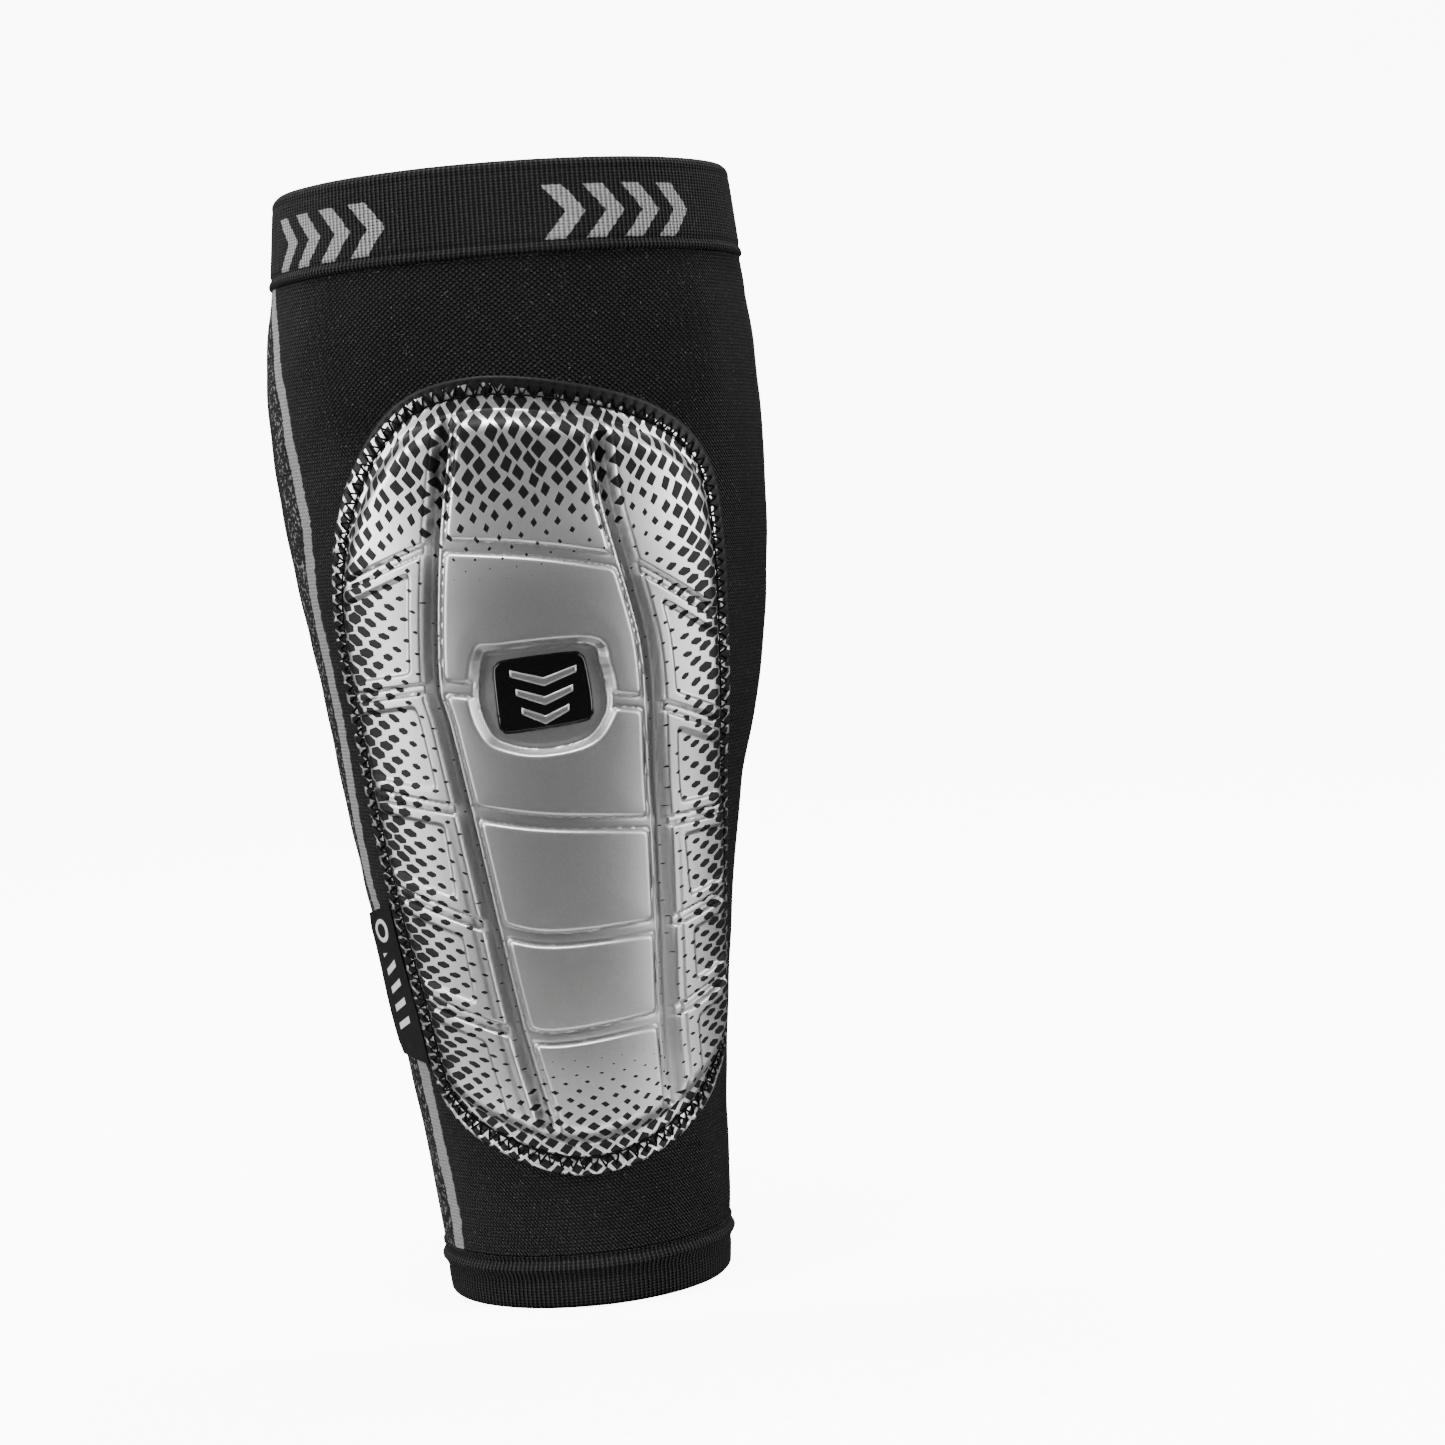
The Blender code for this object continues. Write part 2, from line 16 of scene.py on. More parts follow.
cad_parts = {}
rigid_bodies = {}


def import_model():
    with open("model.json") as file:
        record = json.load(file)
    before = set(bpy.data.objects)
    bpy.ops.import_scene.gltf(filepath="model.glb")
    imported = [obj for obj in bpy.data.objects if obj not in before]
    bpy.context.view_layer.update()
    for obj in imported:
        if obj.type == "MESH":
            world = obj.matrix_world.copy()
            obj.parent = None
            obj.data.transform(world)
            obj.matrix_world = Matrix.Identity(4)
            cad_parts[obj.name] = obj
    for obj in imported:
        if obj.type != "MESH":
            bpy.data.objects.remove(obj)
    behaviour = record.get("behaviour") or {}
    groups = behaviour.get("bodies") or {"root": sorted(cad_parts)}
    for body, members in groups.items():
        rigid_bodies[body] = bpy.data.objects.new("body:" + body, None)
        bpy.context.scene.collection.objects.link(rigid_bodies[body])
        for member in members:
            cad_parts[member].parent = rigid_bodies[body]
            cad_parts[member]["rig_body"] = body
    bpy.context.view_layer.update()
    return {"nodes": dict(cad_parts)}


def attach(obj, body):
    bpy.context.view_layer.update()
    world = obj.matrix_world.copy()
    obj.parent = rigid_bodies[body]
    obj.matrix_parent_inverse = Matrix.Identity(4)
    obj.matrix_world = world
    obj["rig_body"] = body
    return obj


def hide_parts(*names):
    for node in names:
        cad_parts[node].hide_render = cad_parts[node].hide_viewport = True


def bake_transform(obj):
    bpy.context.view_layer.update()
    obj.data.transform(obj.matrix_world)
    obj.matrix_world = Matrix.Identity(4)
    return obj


for startup in list(bpy.data.objects):
    bpy.data.objects.remove(startup)
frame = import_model()

MM = 0.001
HEIGHT = 280.0
TOP_CUFF = 257.5
BOTTOM_CUFF = 13.0
FACE_GAP = 0.3

# The leg's form: height, half width, sideways shift, front depth, back depth, front line's y.
LEG = np.array((
    (0, 35.4, 0.0, 35.5, 37.0, -35.5),
    (16, 37.0, 0.0, 36.0, 37.0, -35.5),
    (48, 39.8, -1.0, 38.0, 40.0, -36.5),
    (94, 45.8, -2.0, 42.0, 48.0, -38.5),
    (125, 51.0, -1.5, 45.0, 54.0, -39.5),
    (149, 55.4, 0.0, 47.5, 58.0, -40.5),
    (181, 60.0, 0.0, 50.0, 62.0, -41.5),
    (212, 62.6, -0.5, 51.5, 63.5, -42.0),
    (239, 62.2, -0.8, 51.5, 62.5, -42.0),
    (260, 59.5, -0.3, 50.5, 60.0, -41.5),
    (280, 57.6, 0.0, 50.0, 58.0, -41.5),
))

# The pad's outer edge, its long grooves and its cross grooves, as (s, z).
PAD_EDGE = (
    (-10, 229), (10, 226.5), (32, 219), (45.5, 206), (49, 185), (49, 145), (51, 105),
    (49.5, 66), (41, 50), (22, 37.5), (1, 33), (-19, 40), (-34, 52.5), (-39, 76),
    (-46.5, 120), (-52.5, 160), (-50.5, 186), (-41, 208), (-27, 224),
)
FLANGE_AT_SIDES = 5.8
FLANGE_AT_ENDS = 8.2
LEFT_GROOVE = ((-14.5, 219), (-20.0, 188), (-22.8, 158), (-21.0, 146), (-16.8, 125),
               (-13.1, 100), (-9.4, 70), (-5.5, 47))
RIGHT_GROOVE = ((17.2, 212), (17.7, 197), (22.1, 172), (23.7, 160), (24.2, 140),
                (25.0, 116), (24.6, 92), (23.4, 69), (23.2, 49))
# Heights at the left dome edge, the left long groove, the front line, the right long groove and
# the right dome edge.
CROSS_GROOVES = {
    "above_emblem": (179.0, 189.5, 186.5, 181.5, 163.0),
    "emblem": (153.5, 155.5, 151.5, 147.0, 137.5),
    "below_emblem": (132.0, 125.0, 121.0, 118.0, 120.0),
    "middle": (109.5, 96.0, 92.5, 93.0, 100.5),
    "lower": (82.5, 69.7, 68.2, 70.5, 81.0),
}
EMBLEM_FRAME = ((-12.6, 162.6), (-8.4, 163.6), (10.0, 163.6), (12.8, 158.2), (13.8, 151.0), (13.2, 145.6),
                (8.9, 139.9), (-0.8, 138.3), (-9.0, 140.6), (-12.4, 144.4), (-14.2, 152.0))
BADGE = ((-10.6, 157.4), (-9.7, 159.9), (-7.0, 160.9), (5.8, 161.6), (8.6, 160.8), (9.7, 158.2),
         (10.6, 148.2), (9.9, 145.4), (7.6, 144.2), (-6.6, 142.9), (-9.2, 143.7), (-10.1, 146.2))

# Heights of the pad's layers.
BACKING = (0.4, 1.1)
FLANGE_TOP = 2.1
EMBLEM_TOP = 3.9
FILM = 0.6

# The film's form. The long grooves' slots lie a little to one side of the grooves' lines.
LEDGE = 5.8
PLATE_RISE = 1.4
BLOCK_RISE = 1.5
CREASE = 0.22
SLOT_FLOOR = 2.4
SLOT_SHIFT = (-0.6, -0.4)
SLOT_HALF = (1.5, 1.75)
SLOT_WALL = 1.0
PLATE_FROM_GROOVE = (2.2, 3.4)
BLOCK_FROM_GROOVE = (2.1, 1.4)
CHANNEL_HALF = 1.4
SIDE_CHANNEL_HALF = 1.0
DOME_RUN = 5.5
# The side blocks' raised frames, their sunk middles, and the low step that they have further down.
FRAME_WIDTH = 2.6
SUNK_DEPTH = 0.9
LOW_STEP = 0.35
# The frames widen below this height, over this distance.
LOWER_PAD = (135, 60)
# The stitching's outer and inner needle holes, in from the pad's edge.
NEEDLES = (1.6, 4.5)
NEEDLE_PULL = 0.22

# The print: how full a cell is where it is densest, and the heights where it thickens towards the
# pad's two ends, which slant a little across the leg.
PRINT_FULL = 0.78
PRINT_TOP = 176
PRINT_BOTTOM = 70
PRINT_RUN = 34
PRINT_SLANT = 0.05

# The bands that the soft layers are cut into, one for each bend, with the body above or below
# the emblem's row that each one follows and the heights where it starts and stops turning.
BANDS = (
    ("top", 154.0, 280.0, "emblem_row", "top_row", 160.0, 214.0),
    ("upper", 106.5, 154.0, "emblem_row", "middle_row", 134.0, 108.0),
    ("middle", 80.5, 106.5, "middle_row", "lower_row", 105.0, 80.5),
    ("bottom", 0.0, 80.5, "lower_row", "bottom_row", 80.0, 56.0),
)


# ---------------------------------------------------------------- the leg's form and curves

def leg(z):
    """Half width, shift, front depth, back depth and front y at each height."""
    z = np.clip(np.asarray(z, float), LEG[0, 0], LEG[-1, 0])
    last = len(LEG) - 1
    i = np.clip(np.searchsorted(LEG[:, 0], z, side="right") - 1, 0, last - 1)
    before, after = np.maximum(np.arange(last + 1) - 1, 0), np.minimum(np.arange(last + 1) + 1, last)
    slopes = (LEG[after, 1:] - LEG[before, 1:]) / (LEG[after, 0] - LEG[before, 0])[:, None]
    span = (LEG[i + 1, 0] - LEG[i, 0])[..., None]
    t = (z - LEG[i, 0])[..., None] / span
    found = (LEG[i, 1:] * (2 * t**3 - 3 * t**2 + 1) + slopes[i] * span * (t**3 - 2 * t**2 + t)
             + LEG[i + 1, 1:] * (3 * t**2 - 2 * t**3) + slopes[i + 1] * span * (t**3 - t**2))
    return np.moveaxis(found, -1, 0)


def on_leg(angle, z, h):
    """Points at angles round the leg from the front line, h out from the sleeve's face, in metres."""
    half_width, shift, front, back, front_y = leg(z)
    depth = np.where(np.cos(angle) > 0, front, back)
    nx, ny = np.sin(angle) / half_width, -np.cos(angle) / depth
    size = np.hypot(nx, ny)
    x = shift + half_width * np.sin(angle) + h * nx / size
    y = front_y + front - depth * np.cos(angle) + h * ny / size
    return np.stack([x, y, np.broadcast_to(z, x.shape)], -1) * MM


def arc_scale(z):
    """Millimetres round the leg for each radian."""
    half_width, _, front, _, _ = leg(z)
    return (half_width + front) / 2


def on_pad(s, z, h):
    return on_leg(s / arc_scale(z), z, h)


def smooth_line(points, steps, closed=False):
    """Catmull-Rom curve through the points."""
    p = np.array(points, float)
    if closed:
        p = np.vstack([p[-1], p, p[:2]])
    else:
        p = np.vstack([2 * p[0] - p[1], p, 2 * p[-1] - p[-2]])
    t = (np.arange(steps) / steps)[:, None]
    runs = [0.5 * (2 * b + (c - a) * t + (2 * a - 5 * b + 4 * c - d) * t**2 + (3 * b - a - 3 * c + d) * t**3)
            for a, b, c, d in zip(p, p[1:], p[2:], p[3:])]
    line = np.vstack(runs)
    return line if closed else np.vstack([line, p[-2]])


def nearest_on(points, line):
    """Distance from each point to a line, the nearest point on it and how far along it that is."""
    best = np.full(len(points), np.inf)
    place = np.zeros((len(points), 2))
    along = np.zeros(len(points))
    done = 0.0
    for a, b in zip(line, line[1:]):
        side = b - a
        length = np.hypot(*side)
        t = np.clip((points - a) @ side / length**2, 0, 1)
        at = a + t[:, None] * side
        distance = np.hypot(*(points - at).T)
        nearer = distance < best
        best = np.where(nearer, distance, best)
        place[nearer] = at[nearer]
        along = np.where(nearer, done + t * length, along)
        done += length
    return best, place, along


def ring(loop):
    """The loop with its first point again at its end."""
    return np.vstack([loop, loop[:1]])


def inside(points, loop):
    """Whether each point is inside the loop."""
    found = np.zeros(len(points), bool)
    s, z = points.T
    for a, b in zip(loop, np.roll(loop, -1, axis=0)):
        if a[1] != b[1]:
            found ^= ((a[1] > z) != (b[1] > z)) & (s < a[0] + (b[0] - a[0]) * (z - a[1]) / (b[1] - a[1]))
    return found


def depth_in(points, loop):
    """Distance of each point from the loop, positive inside it."""
    return nearest_on(points, ring(loop))[0] * np.where(inside(points, loop), 1, -1)


def inward_of(loop):
    """Unit vectors into a clockwise loop at each of its points."""
    along = np.roll(loop, -1, axis=0) - np.roll(loop, 1, axis=0)
    along /= np.hypot(*along.T)[:, None]
    return np.stack([along[:, 1], -along[:, 0]], 1)


def inset(loop, distance):
    return loop + inward_of(loop) * np.reshape(distance, (-1, 1))


def clip01(x):
    return np.clip(x, 0, 1)


def ease(x):
    x = clip01(x)
    return x * x * (3 - 2 * x)


def least(values, softness):
    """The smallest of several arrays, with the corner between two of them rounded off."""
    stack = np.stack(values)
    low = stack.min(0)
    return low - softness * np.log(np.exp(-(stack - low) / softness).sum(0))


def waves(x, y, seed, size):
    """Smooth waviness between about -1 and 1, from a few sine waves in fixed random directions."""
    rng = np.random.default_rng(seed)
    total = 0
    for _ in range(6):
        angle, phase = rng.uniform(0, 2 * math.pi), rng.uniform(0, 2 * math.pi)
        stretch = rng.uniform(0.6, 1.5)
        along = x * math.cos(angle) + y * math.sin(angle)
        total = total + np.sin(along * 2 * math.pi / (size * stretch) + phase)
    return total / 3.5


EDGE = smooth_line(PAD_EDGE, 14, closed=True)
DOME = inset(EDGE, FLANGE_AT_SIDES + (FLANGE_AT_ENDS - FLANGE_AT_SIDES) * inward_of(EDGE)[:, 1] ** 2)
LONG_GROOVES = [smooth_line(LEFT_GROOVE, 5), smooth_line(RIGHT_GROOVE, 5)]
FRAME = smooth_line(EMBLEM_FRAME, 5, closed=True)


def groove_at(side, z):
    """s of a long groove at each height: side 0 is the left one."""
    line = LONG_GROOVES[side][::-1]
    return np.interp(z, line[:, 1], line[:, 0])


def dome_side(z, right):
    """s of the dome's edge at a height, on the left or right."""
    loop = ring(DOME)
    found = [a[0] + (b[0] - a[0]) * (z - a[1]) / (b[1] - a[1])
             for a, b in zip(loop, loop[1:]) if (a[1] > z) != (b[1] > z)]
    return max(found) if right else min(found)


def cross_lines(name):
    """A cross groove's left, centre and right parts."""
    far_left, left, middle, right, far_right = CROSS_GROOVES[name]
    a = (float(groove_at(0, left)), left)
    b = (float(groove_at(1, right)), right)
    centre = smooth_line((a, (0.0, middle), b), 8)
    return (np.array([(dome_side(far_left, False) - 3, far_left), a]), centre,
            np.array([b, (dome_side(far_right, True) + 3, far_right)]))


# ---------------------------------------------------------------- the pad's surface

def pad_fields(points):
    """Distances that the film's form and print depend on."""
    s, z = points.T
    edge, _, along = nearest_on(points, ring(EDGE))
    cross, sides = [], []
    for name in CROSS_GROOVES:
        left, centre, right = cross_lines(name)
        cross.append(nearest_on(points, centre)[0])
        sides.append(np.minimum(nearest_on(points, left)[0], nearest_on(points, right)[0]))
    slots = [nearest_on(points, line + (shift, 0))[0] - half
             for line, shift, half in zip(LONG_GROOVES, SLOT_SHIFT, SLOT_HALF)]
    from_left, from_right = s - groove_at(0, z), groove_at(1, z) - s
    highest = np.concatenate([np.asarray(line) for line in cross_lines("above_emblem")])
    highest = highest[np.argsort(highest[:, 0])]
    return {
        "edge": edge,
        "along": along,
        "dome": depth_in(points, DOME),
        "slot": np.minimum(*slots),
        "cross": cross,
        "sides": sides,
        "from_left": from_left,
        "from_right": from_right,
        "centre": (from_left > SLOT_SHIFT[0]) & (from_right > -SLOT_SHIFT[1]),
        "frame": depth_in(points, FRAME),
        "under_top": z < np.interp(s, highest[:, 0], highest[:, 1]),
    }


def step_up(room, run):
    """0 at a plate's edge and 1 on the plate, with a crisp foot and a rounded rim."""
    t = clip01(room / run)
    return 1 - (1 - t) ** 2.4


def film_height(points, f):
    """h of the film's outer face."""
    s, z = points.T
    # The centre plates stand on a ledge, and the shallow channels between them are level with it.
    room = least([d - CHANNEL_HALF for d in f["cross"]]
                 + [f["from_left"] - PLATE_FROM_GROOVE[0], f["from_right"] - PLATE_FROM_GROOVE[1],
                    -f["frame"] - 0.5], 0.45)
    plate = PLATE_RISE * step_up(room, 1.15) - CREASE * np.exp(-((room + 0.15) / 0.32) ** 2)
    plate += 0.30 * (1 - np.exp(-np.maximum(room, 0) / 7))
    # The side blocks have a raised frame round a sunk middle, and channels that fade out at the dome's edge.
    beside = np.where(s < 0, -f["from_left"] - BLOCK_FROM_GROOVE[0], -f["from_right"] - BLOCK_FROM_GROOVE[1])
    channel = least([d - SIDE_CHANNEL_HALF for d in f["sides"]], 0.4)
    fade = ease((f["dome"] - 1.0) / 4.5)
    block = BLOCK_RISE * (1 - (1 - step_up(channel, 0.75)) * fade)
    block = block - CREASE * fade * np.exp(-(channel / 0.3) ** 2)
    block = least([block, BLOCK_RISE * step_up(beside + 0.2, 1.0)], 0.12)
    # The frames get wider down the pad, and there they have a second low step beside the slot.
    low = ease((LOWER_PAD[0] - z) / LOWER_PAD[1])
    inner = least([channel - FRAME_WIDTH, beside - FRAME_WIDTH - FRAME_WIDTH * low], 0.5)
    block -= SUNK_DEPTH * ease(inner / 0.8) * f["under_top"] * ease((z - 46) / 8) * fade
    block -= LOW_STEP * low * (1 - ease((beside - 1.8) / 0.7))
    height = LEDGE + np.where(f["centre"], plate, block)
    # The emblem's frame is a low flat with a soft lip.
    on_frame = ease((f["frame"] + 0.5) / 1.0)
    height = height * (1 - on_frame) + EMBLEM_TOP * on_frame
    height += 0.22 * np.exp(-((f["frame"] - 0.9) / 0.4) ** 2)
    # The two long grooves are deep slots.
    wall = ease((f["slot"] + SLOT_WALL) / (SLOT_WALL + 0.35))
    height = SLOT_FLOOR + (height - SLOT_FLOOR) * wall
    # The dome falls to the flange, with a low step at the crease.
    dome = 1 - (1 - clip01(f["dome"] / DOME_RUN)) ** 2.2
    crease = 0.45 * ease(f["dome"] / 0.6 + 0.5)
    height = FLANGE_TOP + crease * (1 - dome) + (height - FLANGE_TOP) * dome
    # Needle holes pull the flange down a little under each stitch.
    tooth = np.cos(f["along"] * 2 * math.pi / STITCH_PITCH)
    height -= NEEDLE_PULL * np.exp(-((f["edge"] - NEEDLES[0]) / 0.55) ** 2) * clip01(tooth)
    height -= NEEDLE_PULL * np.exp(-((f["edge"] - NEEDLES[1]) / 0.5) ** 2)
    # The flange's rim is rounded off.
    height -= 0.35 * (1 - clip01(f["edge"] / 0.7)) ** 2
    return height


def print_size(points, f):
    """How much of its cell each printed mark fills, from 0 to about 0.8, and over 1 where all is black."""
    s, z = points.T
    top = ease((z - PRINT_TOP - PRINT_SLANT * s) / PRINT_RUN) * PRINT_FULL
    bottom = ease((PRINT_BOTTOM - z - PRINT_SLANT * s) / PRINT_RUN) * PRINT_FULL
    # Beside the centre plates the marks grow outwards, and they are smaller in the slots.
    outward = np.maximum(-f["from_left"], -f["from_right"])
    width = np.where(s < 0, 17.0, 14.0)
    side = np.where(outward > -1.5, 0.16 + 0.66 * clip01((outward - 2) / width), 0)
    side = side * (1 - 0.45 * (f["slot"] < 0.2))
    size = np.maximum(np.maximum(top, bottom), side)
    size = np.where(f["dome"] < 1.0, np.maximum(size, PRINT_FULL), size)
    # The rim is all black round the pad's top, and more so at its right.
    black_edge = (1.7 + 1.6 * ease((s + 6) / 12)) * ease((z - 182 + 0.55 * s) / 22)
    margin = clip01((black_edge - f["edge"]) / 0.3) * (black_edge > 0.2)
    return size + margin


# ---------------------------------------------------------------- meshes

def add_object(name, data):
    obj = bpy.data.objects.new(name, data)
    bpy.context.scene.collection.objects.link(obj)
    return obj


def new_mesh(name, verts, faces, material, sharp=40):
    """Object of points in metres and faces, each a row of point numbers."""
    mesh = bpy.data.meshes.new(name)
    mesh.from_pydata(np.asarray(verts).tolist(), [], [list(map(int, f)) for f in faces])
    mesh.validate()
    mesh.materials.append(material)
    mesh.shade_smooth()
    mesh.set_sharp_from_angle(angle=math.radians(sharp))
    return add_object(name, mesh)


def point_values(obj, name, values):
    """Give the mesh a number at each point, for its material."""
    found = obj.data.attributes.new(name, "FLOAT", "POINT")
    found.data.foreach_set("value", np.asarray(values, np.float32))


def corner_points(obj):
    """The number of the point at each corner of each face."""
    found = np.empty(len(obj.data.loops), np.int32)
    obj.data.loops.foreach_get("vertex_index", found)
    return found


def set_cloth(obj, places):
    """Give each corner of each face its place on the cloth, in millimetres."""
    layer = obj.data.uv_layers.new(name="cloth")
    layer.data.foreach_set("uv", places.astype(np.float32).reshape(-1))


def grid_over(loop, step):
    """Points and four-sided cells that cover a loop, with the outermost points moved onto it."""
    low, high = loop.min(0) - step, loop.max(0) + step
    s = np.arange(math.floor(low[0] / step), math.ceil(high[0] / step) + 1) * step
    z = np.arange(math.floor(low[1] / step), math.ceil(high[1] / step) + 1) * step
    points = np.stack(np.meshgrid(s, z), -1).reshape(-1, 2)
    wide = len(s)
    corner = (np.arange(len(z) - 1)[:, None] * wide + np.arange(wide - 1)).reshape(-1)
    cells = np.stack([corner, corner + 1, corner + wide + 1, corner + wide], 1)
    kept = inside(points[cells].mean(1), loop)
    on_cell = np.zeros(len(points), int)
    np.add.at(on_cell, cells[kept].reshape(-1), 1)
    cells = cells[kept]
    rim = (on_cell > 0) & (on_cell < 4)
    points[rim] = nearest_on(points[rim], ring(loop))[1]
    used = np.flatnonzero(on_cell)
    new = np.zeros(len(points), int)
    new[used] = np.arange(len(used))
    return points[used], new[cells]


def shell(name, points, cells, top, under, material, sharp=40):
    """Closed shell over cells of the pad, from h = under to h = top at each point."""
    used = np.unique(cells)
    new = np.zeros(len(points), int)
    new[used] = np.arange(len(used))
    cells = new[cells]
    at = points[used]
    count = len(used)
    verts = np.vstack([on_pad(at[:, 0], at[:, 1], top[used]), on_pad(at[:, 0], at[:, 1], under[used])])
    ends = np.concatenate([cells[:, [k, (k + 1) % 4]] for k in range(4)])
    code = ends[:, 0] * count + ends[:, 1]
    back = ends[:, 1] * count + ends[:, 0]
    rim = ends[~np.isin(code, back)]
    sides = np.stack([rim[:, 1], rim[:, 0], rim[:, 0] + count, rim[:, 1] + count], 1)
    obj = new_mesh(name, verts, np.vstack([cells, cells[:, ::-1] + count, sides]), material, sharp)
    return obj, np.concatenate([used, used])


def in_band(points, cells, band):
    """The cells whose middle is between a band's two heights."""
    middle = points[cells].mean(1)[:, 1]
    return cells[(middle > band[1]) & (middle < band[2])]


def bend(obj, band):
    """Bakes the piece's place into its mesh."""
    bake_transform(obj)


def main_bend(body, heights):
    """The band whose bend would carry the film furthest from foam that kept to its own body."""
    def strayed(band):
        _, bottom, top, near, _, start, end = band
        z = heights[(heights > bottom) & (heights < top)]
        turned = ease((z - start) / (end - start)) - (body != near)
        return np.abs(turned * (z - (start + end) / 2)).max(initial=0.0)
    return max((band for band in BANDS if body in band[3:5]), key=strayed)


def tube_band(name, z0, z1, step, outer, inner, material, columns=288):
    """Closed band of the tube between two heights, with outer(angle, z) and inner(angle, z) as h.

    Gives the object and the angle and height of each point, the outer face's points first.
    """
    rows = max(2, int(round((z1 - z0) / step)))
    angle = (np.arange(columns) / columns * 2 - 1) * math.pi
    z = z0 + (z1 - z0) * np.arange(rows + 1) / rows
    grid_angle, grid_z = np.meshgrid(angle, z)
    out = on_leg(grid_angle, grid_z, outer(grid_angle, grid_z))
    back = on_leg(grid_angle, grid_z, inner(grid_angle, grid_z))
    verts = np.concatenate([out, back[::-1]]).reshape(-1, 3)
    total = 2 * (rows + 1)
    row = np.arange(total)[:, None] * columns
    col = np.arange(columns)[None, :]
    after_row = (np.arange(total)[:, None] + 1) % total * columns
    after_col = (col + 1) % columns
    faces = np.stack([row + col, row + after_col, after_row + after_col, after_row + col], -1).reshape(-1, 4)
    obj = new_mesh(name, verts, faces, material, 50)
    # On the cloth, x is the distance round the leg and y is the height. The faces that close the
    # ring end at a whole turn, not at the start.
    both_z = np.concatenate([z, z[::-1]])
    corners = corner_points(obj)
    at_row, at_col = corners // columns, corners % columns
    four = at_col.reshape(-1, 4)
    closing = (four.max(1) - four.min(1) > 2).repeat(4) & (at_col == 0)
    turn = (at_col + columns * closing) / columns * 2 - 1
    set_cloth(obj, np.stack([turn * math.pi * arc_scale(both_z)[at_row], both_z[at_row]], 1))
    angles = np.concatenate([grid_angle, grid_angle[::-1]]).reshape(-1)
    return obj, angles, np.concatenate([grid_z, grid_z[::-1]]).reshape(-1)


def threads(name, paths, radius, material, sides=6):
    """Closed tubes along paths; each path is points in metres and the outward direction at each."""
    verts, faces = [], []
    first = 0
    for path, outward in paths:
        along = np.gradient(path, axis=0)
        along /= np.linalg.norm(along, axis=1)[:, None]
        across = np.cross(along, outward)
        across /= np.linalg.norm(across, axis=1)[:, None]
        up = np.cross(across, along)
        turn = np.arange(sides) / sides * 2 * math.pi
        circle = np.cos(turn)[None, :, None] * across[:, None] + np.sin(turn)[None, :, None] * up[:, None]
        verts.append((path[:, None] + circle * radius * MM).reshape(-1, 3))
        count = len(path)
        for i in range(count - 1):
            for k in range(sides):
                a, b = first + i * sides + k, first + i * sides + (k + 1) % sides
                faces.append((a, b, b + sides, a + sides))
        faces.append([first + k for k in range(sides)][::-1])
        faces.append([first + (count - 1) * sides + k for k in range(sides)])
        first += count * sides
    mesh = bpy.data.meshes.new(name)
    mesh.from_pydata(np.vstack(verts).tolist(), [], faces)
    mesh.materials.append(material)
    work = bmesh.new()
    work.from_mesh(mesh)
    bmesh.ops.recalc_face_normals(work, faces=work.faces)
    work.to_mesh(mesh)
    work.free()
    mesh.shade_smooth()
    return add_object(name, mesh)


# ---------------------------------------------------------------- materials

class Surface:
    """A material in the making. Each call adds a node and gives its output."""

    def __init__(self, name, **sockets):
        self.material = bpy.data.materials.new(name)
        self.material.use_nodes = True
        self.tree = self.material.node_tree
        self.shader = self.tree.nodes["Principled BSDF"]
        for key, value in sockets.items():
            self.shader.inputs[key.replace("_", " ")].default_value = value

    def node(self, kind, inputs=(), output=0, **settings):
        made = self.tree.nodes.new(kind)
        for key, value in settings.items():
            setattr(made, key, value)
        for key, value in dict(inputs).items():
            if isinstance(value, bpy.types.NodeSocket):
                self.tree.links.new(value, made.inputs[key])
            else:
                made.inputs[key].default_value = value
        return made.outputs[output]

    def math(self, operation, *values):
        return self.node("ShaderNodeMath", enumerate(values), operation=operation)

    def steps(self, value, low, high, smooth=True):
        """0 below low and 1 above high."""
        return self.node("ShaderNodeMapRange", {"Value": value, "From Min": low, "From Max": high},
                         interpolation_type="SMOOTHSTEP" if smooth else "LINEAR")

    def between(self, value, low, high, edge):
        """1 between two values and 0 outside them, with an edge just inside each."""
        return self.math("MULTIPLY", self.steps(value, low, low + edge, False),
                         self.steps(value, high, high - edge, False))

    def product(self, first, *others):
        for other in others:
            first = self.math("MULTIPLY", first, other)
        return first

    def mix(self, factor, first, second):
        return self.node("ShaderNodeMix", {0: factor, 6: first, 7: second}, 2, data_type="RGBA")

    def value(self, name):
        return self.node("ShaderNodeAttribute", output=2, attribute_name=name)

    def noise(self, scale, detail):
        place = self.node("ShaderNodeTexCoord", output="Object")
        return self.node("ShaderNodeTexNoise", {"Scale": scale, "Detail": detail, "Vector": place})

    def split(self, vector):
        """The three parts of a vector or a colour."""
        parts = self.tree.nodes.new("ShaderNodeSeparateXYZ")
        self.tree.links.new(vector, parts.inputs[0])
        return parts.outputs

    def cloth(self):
        """The cloth's own x and y in millimetres."""
        return self.split(self.node("ShaderNodeUVMap", uv_map="cloth"))[:2]

    def bump(self, height, distance, strength=1.0):
        normal = self.node("ShaderNodeBump", {"Height": height, "Distance": distance, "Strength": strength})
        self.tree.links.new(normal, self.shader.inputs["Normal"])

    def link(self, value, socket):
        self.tree.links.new(value, self.shader.inputs[socket])


def grey(value):
    return (value, value, value, 1.0)


def wave(m, value, period):
    """Sine wave of a socket in millimetres."""
    return m.math("SINE", m.math("MULTIPLY", value, 2 * math.pi / period))


def pique(m, x, y):
    """Small round bumps in staggered rows."""
    return m.math("MULTIPLY", wave(m, x, 1.5), wave(m, y, 1.3))


